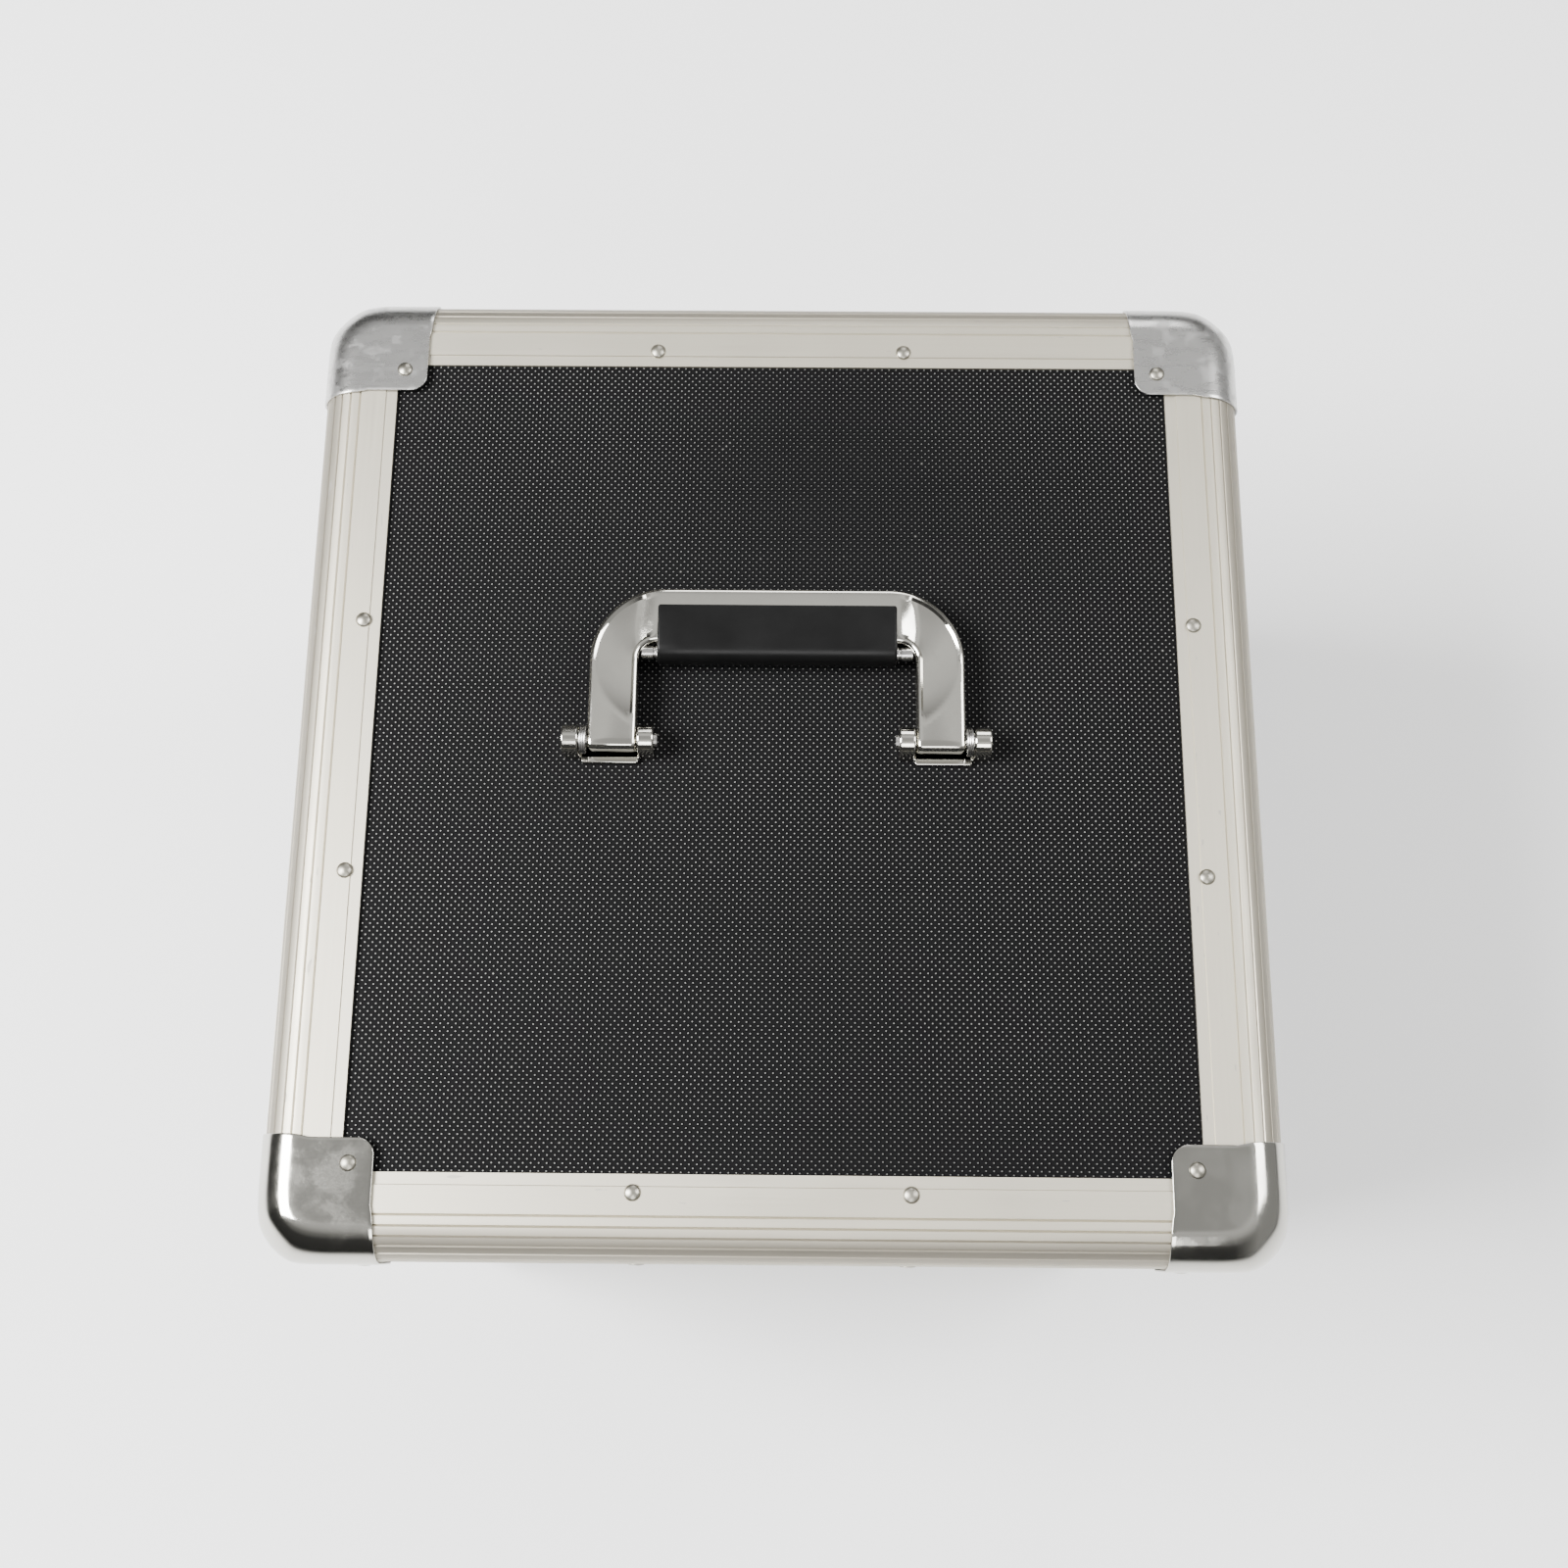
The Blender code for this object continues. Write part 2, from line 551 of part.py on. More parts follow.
def hinge_leaf(name, upward, own_knuckles, steel, carrier):
    """A leaf whose sheet curls into a knuckle, notched where the other leaf's knuckles turn."""
    face, back = GAP + HINGE_SHEET, GAP
    reach = HINGE_AXIS_OUT - face
    meets = pi - acos(reach / HINGE_KNUCKLE_RADIUS)
    curl = arc(HINGE_AXIS_OUT, 0, HINGE_KNUCKLE_RADIUS, meets, -pi, HINGE_STEPS)
    outline = [(back, HINGE_LEAF_HEIGHT), (face, HINGE_LEAF_HEIGHT)] + curl + [(back, 0)]
    bore = circle(HINGE_AXIS_OUT, 0, HINGE_PIN_RADIUS + GAP, HINGE_STEPS)
    leaf = prism(name, outline, -HINGE_WIDTH / 2, HINGE_WIDTH / 2, steel, carrier, holes=[bore],
                 origin=(0, HALF_DEPTH, SPLIT_Z), across=Y_AXIS, along=Z_AXIS * upward)
    bm = bmesh.new()
    pitch = HINGE_WIDTH / HINGE_KNUCKLES
    swept = HINGE_KNUCKLE_RADIUS + GAP
    for index in range(HINGE_KNUCKLES):
        if index % 2 == own_knuckles:
            continue
        start = -HINGE_WIDTH / 2 + pitch * index
        low = (start - GAP / 2, HALF_DEPTH - OVERRUN, SPLIT_Z - swept)
        high = (start + pitch + GAP / 2, BACK_REACH + OVERRUN, SPLIT_Z + swept)
        box(bm, low, high)
    notches = as_guide(solid(f"{name}_notches", bm, steel, carrier))
    boolean(leaf, notches)


def hinge_pin(carrier, steel):
    """The hinge's pin, with a head at each end."""
    bm = bmesh.new()
    half = HINGE_WIDTH / 2 + GAP
    end = half + HINGE_HEAD_LENGTH
    profile = [(0, -end), (HINGE_HEAD_RADIUS, -end), (HINGE_HEAD_RADIUS, -half), (HINGE_PIN_RADIUS, -half),
               (HINGE_PIN_RADIUS, half), (HINGE_HEAD_RADIUS, half), (HINGE_HEAD_RADIUS, end), (0, end)]
    turn = Z_AXIS.rotation_difference(X_AXIS).to_matrix().to_4x4()
    add_turned(bm, profile, HINGE_STEPS, turn)
    solid("hinge_pin", bm, steel, carrier, origin=(0, HINGE_Y, SPLIT_Z))


def dish_row(half_width, height, radius):
    """A dish's outline from the split down one side, round two corners and up the other."""
    low = arc(-half_width + radius, -height + radius, radius, pi, 3 * pi / 2, LATCH_CORNER_STEPS)
    return [(-half_width, -GAP / 2)] + low + [(-x, y) for x, y in reversed(low)] + [(half_width, -GAP / 2)]


def latch_dish(name, x, upward, height, steel, carrier):
    """A pressed dish, open at the split: a flange on the panel, drafted walls and a flat floor."""
    bm = bmesh.new()
    flange_front = PANEL_SINK - GAP - DISH_SHEET
    loops = []
    for spread, depth in ((LATCH_FLANGE, flange_front), (0, flange_front), (-LATCH_DRAFT, DISH_DEPTH)):
        row = dish_row(LATCH_HALF_WIDTH + spread, height + spread, LATCH_CORNER_RADIUS + spread)
        loops.append([bm.verts.new((u, v, depth)) for u, v in row])
    for one, two in zip(loops, loops[1:]):
        for i in range(len(one) - 1):
            bm.faces.new((one[i], one[i + 1], two[i + 1], two[i]))
    bm.faces.new(loops[-1])
    return sheet(name, bm, -Z_AXIS, DISH_SHEET, steel, carrier, origin=(x, -HALF_DEPTH, SPLIT_Z),
                 across=X_AXIS * upward, along=Z_AXIS * -upward)


def latch_cutters(carrier, steel):
    """Guides for what the dishes cut away: a pocket each in the front panels, a wider slot in the rims."""
    pockets, slots = bmesh.new(), bmesh.new()
    clear = DISH_SHEET + GAP
    for sign in (-1, 1):
        x = sign * LATCH_X
        half = LATCH_HALF_WIDTH + clear
        box(pockets, (x - half, -HALF_DEPTH - OVERRUN, SPLIT_Z - BASE_DISH_HEIGHT - clear),
            (x + half, -HALF_DEPTH + PANEL_BACK + OVERRUN, SPLIT_Z + LID_DISH_HEIGHT + clear))
        half = LATCH_HALF_WIDTH + LATCH_FLANGE + GAP
        box(slots, (x - half, -HALF_DEPTH - OVERRUN, SPLIT_Z - RIM_FLANGE - OVERRUN),
            (x + half, -HALF_DEPTH + DISH_BACK + GAP, SPLIT_Z + RIM_FLANGE + OVERRUN))
    return (as_guide(solid("latch_pockets", pockets, steel, carrier)),
            as_guide(solid("rim_slots", slots, steel, carrier)))


def hook_outline(mirror):
    """The cam's hook plate: a hub, a stem and a finger that wraps the peg when the cam is turned."""
    outer = arc(0, 0, HOOK_OUTER_RADIUS, HOOK_STEM_FROM, HOOK_TIP, HOOK_STEPS)
    inner = []
    for step in range(HOOK_STEPS + 1):
        share = step / HOOK_STEPS
        radius = HOOK_INNER_RADIUS + HOOK_LEAD_IN * (1 - share)
        turn = HOOK_TIP + (HOOK_STEM_TO - HOOK_TIP) * share
        inner.append((radius * cos(turn), radius * sin(turn)))
    half_stem = HOOK_OUTER_RADIUS * sin((HOOK_STEM_TO - HOOK_STEM_FROM) / 2)
    stem_turn = (HOOK_STEM_TO + HOOK_STEM_FROM) / 2
    open_turn = asin(half_stem / HOOK_HUB_RADIUS)
    hub_arc = arc(0, 0, HOOK_HUB_RADIUS, stem_turn + open_turn, stem_turn - open_turn + tau, 2 * HOOK_STEPS)
    return [(mirror * x, y) for x, y in outer + inner + hub_arc]


def latch_cam(name, x, mirror, steel, carrier):
    """The turning part: disc, spindle with its peened collar, ears for the wing, and the hook."""
    depth_turn = Matrix.Rotation(-pi / 2, 4, "X")
    bm = bmesh.new()
    collar_from = DISH_BACK + GAP
    profile = [(0, DISC_DEPTH), (DISC_RADIUS, DISC_DEPTH), (DISC_RADIUS, DISC_DEPTH + DISC_THICKNESS),
               (SPINDLE_RADIUS, DISC_DEPTH + DISC_THICKNESS), (SPINDLE_RADIUS, collar_from),
               (COLLAR_RADIUS, collar_from), (COLLAR_RADIUS, collar_from + COLLAR_THICKNESS),
               (0, collar_from + COLLAR_THICKNESS)]
    place = Vector((x, -HALF_DEPTH, SPLIT_Z - LATCH_SPINDLE_DROP))
    add_turned(bm, profile, SPINDLE_STEPS, depth_turn)
    cam = solid(name, bm, steel, carrier, origin=place)
    hook = as_guide(prism(f"{name}_hook", hook_outline(mirror), -HOOK_DEPTH - HOOK_THICKNESS, -HOOK_DEPTH,
                          steel, carrier, origin=place, across=X_AXIS, along=Z_AXIS))
    boolean(cam, hook, "UNION")
    bm = bmesh.new()
    ear_from = WING_KNUCKLE_LENGTH / 2 + GAP
    for sign in (-1, 1):
        ends = sorted((sign * ear_from, sign * (ear_from + EAR_THICKNESS)))
        depths = (WING_AXIS_DEPTH - WING_KNUCKLE_RADIUS, DISC_DEPTH + DISC_THICKNESS / 2)
        box(bm, (ends[0], depths[0], -EAR_HALF_HEIGHT), (ends[1], depths[1], EAR_HALF_HEIGHT))
    ears = as_guide(solid(f"{name}_ears", bm, steel, carrier, origin=place))
    boolean(cam, ears, "UNION")


def latch_wing(name, x, steel, carrier):
    """The half-round leaf that folds out of the dish to turn the cam."""
    knuckle_half = WING_KNUCKLE_LENGTH / 2
    shoulder = hypot(EAR_HALF_HEIGHT, WING_KNUCKLE_RADIUS) + GAP
    leaf_from = asin(shoulder / WING_RADIUS)
    leaf = arc(0, 0, WING_RADIUS, pi + leaf_from, tau - leaf_from, WING_STEPS)
    root = [(knuckle_half, -shoulder), (knuckle_half, 0)]
    outline = leaf + root + [(-x, y) for x, y in reversed(root)]
    eye = circle(0, -WING_EYE_DROP, WING_EYE_RADIUS, WING_STEPS)
    place = Vector((x, WING_AXIS_DEPTH - HALF_DEPTH, SPLIT_Z - LATCH_SPINDLE_DROP))
    wing = prism(name, outline, -WING_THICKNESS / 2, WING_THICKNESS / 2, steel, carrier, holes=[eye],
                 origin=place, across=X_AXIS, along=Z_AXIS)
    bm = bmesh.new()
    rod(bm, X_AXIS, -knuckle_half, knuckle_half, WING_KNUCKLE_RADIUS, WING_STEPS)
    knuckle = as_guide(solid(f"{name}_knuckle", bm, steel, carrier, origin=place))
    boolean(wing, knuckle, "UNION")


def latches(case, lid, steel, chrome):
    """Two recessed twist latches: dish and cam on the base, keeper dish with its peg on the lid."""
    for side, sign in (("left", -1), ("right", 1)):
        x = sign * LATCH_X
        dish = latch_dish(f"latch_dish_{side}", x, -1, BASE_DISH_HEIGHT, steel, case)
        spindle = Vector((x, -HALF_DEPTH, SPLIT_Z - LATCH_SPINDLE_DROP))
        bm = bmesh.new()
        rod(bm, Y_AXIS, 0, DISH_BACK + OVERRUN, SPINDLE_RADIUS + GAP, SPINDLE_STEPS)
        boolean(dish, as_guide(solid(f"latch_bore_{side}", bm, steel, case, origin=spindle)))
        keeper = latch_dish(f"latch_keeper_{side}", x, 1, LID_DISH_HEIGHT, steel, lid)
        bm = bmesh.new()
        rod(bm, Y_AXIS, DISH_DEPTH - PEG_LENGTH, DISH_DEPTH + DISH_SHEET / 2, PEG_RADIUS, PEG_STEPS)
        foot = (x, -HALF_DEPTH, SPLIT_Z + PEG_RISE)
        boolean(keeper, as_guide(solid(f"latch_peg_{side}", bm, steel, lid, origin=foot)), "UNION")
        turning = hub(f"latch_axis_{side}", spindle, case)
        latch_cam(f"latch_cam_{side}", x, -sign, chrome, turning)
        folding = hub(f"wing_axis_{side}", spindle + Y_AXIS * WING_AXIS_DEPTH, turning)
        latch_wing(f"latch_wing_{side}", x, chrome, folding)


def handle_outline():
    """The handle's frame in plan, from above: two arms, two elbows and the bar that the grip covers."""
    elbow_x = HANDLE_HALF_WIDTH - HANDLE_ELBOW_RADIUS
    elbow_y = HANDLE_REACH - HANDLE_ELBOW_RADIUS
    elbow = arc(elbow_x, elbow_y, HANDLE_ELBOW_RADIUS, 0, pi / 2, HANDLE_ELBOW_STEPS)
    bar_front = HANDLE_REACH - HANDLE_BAR_WIDTH
    fillet = arc(ARM_INNER - HANDLE_FILLET_RADIUS, bar_front - HANDLE_FILLET_RADIUS, HANDLE_FILLET_RADIUS,
                 pi / 2, 0, HANDLE_FILLET_STEPS)
    right = [(HANDLE_HALF_WIDTH, -HANDLE_HEEL)] + elbow
    inside = fillet + [(ARM_INNER, -HANDLE_HEEL)]
    left = [(-x, y) for x, y in reversed(right)]
    inside_left = [(-x, y) for x, y in reversed(inside)]
    return right + left + inside_left + inside


def handle_frame(axis, pivot, chrome):
    """The cast frame, its edges rounded and its arms bored for the pins."""
    half = HANDLE_THICKNESS / 2
    frame = prism("handle_frame", handle_outline(), -half, half, chrome, axis, origin=pivot)
    bevel = frame.modifiers.new("edges", "BEVEL")
    bevel.width = HANDLE_EDGE_BEVEL
    bevel.segments = 2
    bevel.limit_method = "ANGLE"
    bevel.angle_limit = HANDLE_EDGE_ANGLE
    bm = bmesh.new()
    rod(bm, X_AXIS, -HANDLE_HALF_WIDTH - OVERRUN, HANDLE_HALF_WIDTH + OVERRUN, HANDLE_PIN_RADIUS + GAP,
        HANDLE_PIN_STEPS)
    boolean(frame, as_guide(solid("handle_bore", bm, chrome, axis, origin=pivot)))


def handle_grip(axis, pivot, rubber):
    """The rubber grip: a sleeve with a slot that the frame's bar fills, pushed on from the front."""
    back = HANDLE_REACH - GRIP_BACK
    front = back - GRIP_WIDTH
    half = GRIP_THICKNESS / 2
    slot_half = HANDLE_THICKNESS / 2 + GAP
    slot_floor = HANDLE_REACH - HANDLE_BAR_WIDTH - GAP
    slot = [(back, -slot_half), (slot_floor, -slot_half), (slot_floor, slot_half), (back, slot_half)]
    centre = front + GRIP_ROUND
    above = arc(centre, half - GRIP_ROUND, GRIP_ROUND, pi / 2, pi, GRIP_ROUND_STEPS)
    below = arc(centre, GRIP_ROUND - half, GRIP_ROUND, pi, 3 * pi / 2, GRIP_ROUND_STEPS)
    outline = slot + [(back, half)] + above + below + [(back, -half)]
    prism("handle_grip", outline, -GRIP_HALF, GRIP_HALF, rubber, axis,
          origin=pivot, across=Y_AXIS, along=Z_AXIS)


def lug_outline():
    """A lug seen along the pivot: round over the pin, straight down to the bracket's plate."""
    foot = -HANDLE_PIVOT_HEIGHT + GAP + BRACKET_THICKNESS / 2
    return [(-LUG_RADIUS, foot), (LUG_RADIUS, foot)] + arc(0, 0, LUG_RADIUS, 0, pi, LUG_STEPS)


def handle_bracket(side, sign, lid, pivot, chrome):
    """A cast bracket: a plate with a front tab under the arm, and two lugs round the pin."""
    low = -HANDLE_PIVOT_HEIGHT + GAP
    plate_ends = sorted((sign * INNER_LUG_FROM, sign * OUTER_LUG_TO))
    tab_middle = sign * (INNER_LUG_TO + OUTER_LUG_FROM) / 2
    tab = (tab_middle - TAB_WIDTH / 2, tab_middle + TAB_WIDTH / 2)
    tab_edge = [(tab[0], -BRACKET_FRONT), (tab[0], -TAB_FRONT),
                (tab[1], -TAB_FRONT), (tab[1], -BRACKET_FRONT)]
    front = [(plate_ends[0], -BRACKET_FRONT)] + tab_edge + [(plate_ends[1], -BRACKET_FRONT)]
    outline = front + [(plate_ends[1], BRACKET_BACK), (plate_ends[0], BRACKET_BACK)]
    name = f"handle_bracket_{side}"
    bracket = prism(name, outline, low, low + BRACKET_THICKNESS, chrome, lid, origin=pivot)
    bm = bmesh.new()
    turn = Matrix((Y_AXIS, Z_AXIS, X_AXIS)).transposed().to_4x4()
    for start, end in ((INNER_LUG_FROM, INNER_LUG_TO), (OUTER_LUG_FROM, OUTER_LUG_TO)):
        span = sorted((sign * start, sign * end))
        add_prism(bm, lug_outline(), span[0], span[1], matrix=turn)
    boolean(bracket, as_guide(solid(f"handle_lugs_{side}", bm, chrome, lid, origin=pivot)), "UNION")
    bm = bmesh.new()
    span = sorted((sign * (INNER_LUG_FROM - OVERRUN), sign * (OUTER_LUG_TO + OVERRUN)))
    rod(bm, X_AXIS, span[0], span[1], HANDLE_PIN_RADIUS + GAP, HANDLE_PIN_STEPS)
    boolean(bracket, as_guide(solid(f"handle_lug_bore_{side}", bm, chrome, lid, origin=pivot)))


def handle_pin(side, sign, lid, pivot, steel):
    """The pin through a bracket's lugs and the frame's arm."""
    bm = bmesh.new()
    ends = sorted((sign * (INNER_LUG_FROM - HANDLE_PIN_STUB), sign * OUTER_LUG_TO))
    rod(bm, X_AXIS, ends[0], ends[1], HANDLE_PIN_RADIUS, HANDLE_PIN_STEPS)
    solid(f"handle_pin_{side}", bm, steel, lid, origin=pivot)


def handle(lid, chrome, rubber, steel):
    """The sprung handle, folded back on the lid."""
    pivot = Vector((0, 0, PANEL_TOP_Z + HANDLE_PIVOT_HEIGHT))
    axis = hub("handle_axis", pivot, lid)
    handle_frame(axis, pivot, chrome)
    handle_grip(axis, pivot, rubber)
    for side, sign in (("left", -1), ("right", 1)):
        handle_bracket(side, sign, lid, pivot, chrome)
        handle_pin(side, sign, lid, pivot, steel)


def hinge(case, lid, steel):
    """A piano hinge along the back, whose leaves interlock on one pin."""
    hinge_leaf("hinge_lid_leaf", 1, 0, steel, lid)
    hinge_leaf("hinge_base_leaf", -1, 1, steel, case)
    hinge_pin(case, steel)


def main():
    """Clears the scene and builds the case: shells, feet, hinge, latches and handle."""
    for thing in list(bpy.data.objects):
        bpy.data.objects.remove(thing)
    aluminium = look("anodised_aluminium", (0.62, 0.61, 0.58), 0.35, 1.0)
    skin = look("black_textured_laminate", (0.012, 0.012, 0.014), 0.5, 0.0)
    steel = look("nickel_steel", (0.55, 0.55, 0.54), 0.3, 1.0)
    chrome = look("chrome", (0.66, 0.66, 0.65), 0.1, 1.0)
    rubber = look("black_rubber", (0.014, 0.014, 0.014), 0.6, 0.0)
    felt = look("lining_foam", (0.03, 0.03, 0.032), 0.95, 0.0)
    case = hub("case", (0, 0, 0))
    lid = hub("lid_axis", (0, HINGE_Y, SPLIT_Z), case)
    pockets, slots = latch_cutters(case, steel)
    for part, carrier, face_z, onward in (("base", case, BOTTOM_Z, Z_AXIS), ("lid", lid, TOP_Z, -Z_AXIS)):
        shell_panels(part, carrier, face_z, onward, skin, pockets)
        shell_edges(part, carrier, face_z, onward, aluminium)
        rim(part, -onward.z, slots, aluminium, carrier)
        ball_corners(part, carrier, face_z, -onward.z, chrome)
        lining(part, carrier, face_z, onward, felt)
    feet(case, rubber)
    hinge(case, lid, steel)
    latches(case, lid, steel, chrome)
    handle(lid, chrome, rubber, steel)
    case.location.y = CASE_SHIFT_Y


main()
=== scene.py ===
"""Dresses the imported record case.

The panels, hinge pin and handle pins stay as packed and get their finishes. Finer surfaces, worked out with
numpy, stand for the extrusions, rims, ball corners, handle, latches, hinge leaves, feet and linings. Rivets,
foot screws, latch pegs and the handle's springs and collars are added. Lengths are in metres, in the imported
model's own frame.
"""
from __future__ import annotations

import json
import logging
import math
from dataclasses import dataclass
from enum import Enum
from typing import Any, Mapping, Sequence

import bmesh
import bpy
import numpy as np
from mathutils import Euler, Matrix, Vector

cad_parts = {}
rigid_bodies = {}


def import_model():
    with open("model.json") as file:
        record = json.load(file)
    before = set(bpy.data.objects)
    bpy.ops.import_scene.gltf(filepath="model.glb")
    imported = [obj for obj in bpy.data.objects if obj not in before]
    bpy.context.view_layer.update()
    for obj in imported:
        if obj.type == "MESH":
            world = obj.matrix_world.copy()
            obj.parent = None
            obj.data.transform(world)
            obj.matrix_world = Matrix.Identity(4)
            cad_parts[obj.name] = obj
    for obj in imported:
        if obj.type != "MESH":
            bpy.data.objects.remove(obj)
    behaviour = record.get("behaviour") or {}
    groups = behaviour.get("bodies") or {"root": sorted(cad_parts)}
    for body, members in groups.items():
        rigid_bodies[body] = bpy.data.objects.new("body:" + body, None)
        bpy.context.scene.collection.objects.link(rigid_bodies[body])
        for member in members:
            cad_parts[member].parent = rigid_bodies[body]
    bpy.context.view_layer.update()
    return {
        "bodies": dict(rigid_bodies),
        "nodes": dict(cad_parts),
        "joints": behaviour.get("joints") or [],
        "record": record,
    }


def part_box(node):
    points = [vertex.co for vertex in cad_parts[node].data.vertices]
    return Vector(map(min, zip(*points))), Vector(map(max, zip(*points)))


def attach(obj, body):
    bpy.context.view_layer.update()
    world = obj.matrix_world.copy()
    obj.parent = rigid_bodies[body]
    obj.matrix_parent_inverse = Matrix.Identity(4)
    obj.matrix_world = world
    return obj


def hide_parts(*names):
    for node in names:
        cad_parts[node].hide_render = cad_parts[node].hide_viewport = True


MM = 0.001
GAP = 0.3 * MM
QUARTER = math.pi / 2
Triple = tuple[float, float, float]
log = logging.getLogger("record_case")


class Axis(Enum):
    """A direction of the case: right, towards the hinge, or up."""

    X = (1.0, 0.0, 0.0)
    Y = (0.0, 1.0, 0.0)
    Z = (0.0, 0.0, 1.0)

    @property
    def vector(self) -> np.ndarray:
        """The axis as a unit vector."""
        return np.array(self.value)


class Half(Enum):
    """The two shells of the case, each with its name, its outward face's direction and its flat panel."""

    LID = ("lid", 1.0, "top")
    BASE = ("base", -1.0, "bottom")

    @property
    def body(self) -> str:
        """The body that the half's pieces ride on."""
        return self.value[0]

    @property
    def outward(self) -> float:
        """Up for the lid and down for the base."""
        return self.value[1]


# Shader maths


class Link:
    """A node's output socket, with arithmetic that adds Math nodes."""

    def __init__(self, graph: "Graph", socket: bpy.types.NodeSocket) -> None:
        """Keeps the socket and the graph that it belongs to."""
        self.graph = graph
        self.socket = socket

    def _math(self, operation: str, first: "Link | float", second: "Link | float" = 0.0) -> "Link":
        """One Math node on two values."""
        return self.graph.node("ShaderNodeMath", {"operation": operation}, {0: first, 1: second})

    def __add__(self, other: "Link | float") -> "Link":
        """Sum."""
        return self._math("ADD", self, other)

    def __radd__(self, other: float) -> "Link":
        """Sum with a number first."""
        return self._math("ADD", other, self)

    def __sub__(self, other: "Link | float") -> "Link":
        """Difference."""
        return self._math("SUBTRACT", self, other)

    def __rsub__(self, other: float) -> "Link":
        """Difference from a number."""
        return self._math("SUBTRACT", other, self)

    def __mul__(self, other: "Link | float") -> "Link":
        """Product."""
        return self._math("MULTIPLY", self, other)

    def __rmul__(self, other: float) -> "Link":
        """Product with a number first."""
        return self._math("MULTIPLY", other, self)

    def __pow__(self, other: float) -> "Link":
        """Power."""
        return self._math("POWER", self, other)

    def fraction(self) -> "Link":
        """The part after the point."""
        return self._math("FRACT", self)

    def root(self) -> "Link":
        """Square root."""
        return self._math("SQRT", self)

    def at_least(self, floor: float) -> "Link":
        """The larger of the value and a floor."""
        return self._math("MAXIMUM", self, floor)

    def above(self, threshold: float, softness: float) -> "Link":
        """0 below a threshold, 1 above it, with a soft step between.

        Args:
            threshold: where the step stands.
            softness: how wide the step is.

        Returns:
            The step's value.
        """
        return self.graph.node(
            "ShaderNodeMapRange", {"interpolation_type": "SMOOTHSTEP"},
            {0: self, 1: threshold - softness / 2, 2: threshold + softness / 2, 3: 0.0, 4: 1.0})


class Graph:
    """The node graph of one material, with its one Principled shader."""

    def __init__(self, name: str) -> None:
        """Starts a material with that name."""
        self.material = bpy.data.materials.new(name)
        self.material.use_nodes = True
        self.tree = self.material.node_tree
        self.shader = self.tree.nodes["Principled BSDF"]

    def node(self, kind: str, settings: Mapping[str, Any] | None = None,
             sockets: Mapping[Any, Any] | None = None, output: Any = 0) -> Link:
        """Adds one node.

        Args:
            kind: the node's Blender type.
            settings: its properties, set first; "stops" gives a colour ramp's positions and colours.
            sockets: a value or a link for each named or numbered input.
            output: the name or number of the output that is returned.

        Returns:
            The chosen output as a link.
        """
        made = self.tree.nodes.new(kind)
        for key, value in (settings or {}).items():
            if key == "stops":
                self.set_stops(made.color_ramp, value)
            else:
                setattr(made, key, value)
        for key, value in (sockets or {}).items():
            self.feed(made.inputs[key], value)
        return Link(self, made.outputs[output])

    def feed(self, socket: bpy.types.NodeSocket, value: Any) -> None:
        """Sets an input socket, or links a value to it."""
        if isinstance(value, Link):
            self.tree.links.new(value.socket, socket)
        else:
            socket.default_value = value

    @staticmethod
    def set_stops(ramp: bpy.types.ColorRamp, stops: Sequence[tuple[float, Sequence[float]]]) -> None:
        """Gives a colour ramp its stops, from left to right."""
        for _ in range(len(stops) - len(ramp.elements)):
            ramp.elements.new(1.0)
        for element, (position, colour) in zip(ramp.elements, stops):
            element.position = position
            element.color = (*colour, 1.0)

    def place(self, scale: Sequence[float] = (1, 1, 1), turn: Sequence[float] = (0, 0, 0)) -> Link:
        """Object coordinates, scaled and turned by a Mapping node."""
        here = self.node("ShaderNodeTexCoord", output="Object")
        return self.node("ShaderNodeMapping", {"vector_type": "POINT"},
                         {"Vector": here, "Scale": tuple(scale), "Rotation": tuple(turn)})

    def noise(self, scale: float, detail: float = 2.0, roughness: float = 0.5,
              stretch: Sequence[float] = (1, 1, 1)) -> Link:
        """Fractal noise on object coordinates, stretched by a factor along each axis."""
        return self.node("ShaderNodeTexNoise", {},
                         {"Vector": self.place(stretch), "Scale": scale, "Detail": detail,
                          "Roughness": roughness})

    def mix(self, factor: Link | float, first: Sequence[float] | Link, second: Sequence[float] | Link) -> Link:
        """A colour between two, by a factor."""
        ends = [value if isinstance(value, Link) else (*value, 1.0) for value in (first, second)]
        return self.node("ShaderNodeMix", {"data_type": "RGBA"}, {0: factor, 6: ends[0], 7: ends[1]}, output=2)

    def bump(self, height: Link, distance: float, strength: float = 1.0, under: Link | None = None) -> Link:
        """A normal from a height in shares of a distance, on top of another bump if one is given."""
        sockets: dict[str, Any] = {"Height": height, "Distance": distance, "Strength": strength}
        if under is not None:
            sockets["Normal"] = under
        return self.node("ShaderNodeBump", {}, sockets)

    def finish(self, **sockets: Any) -> bpy.types.Material:
        """Sets the shader's inputs, with underscores for the spaces in their names, and returns the material."""
        for key, value in sockets.items():
            self.feed(self.shader.inputs[key.replace("_", " ").title().replace("Ior", "IOR")], value)
        return self.material


# Finishes


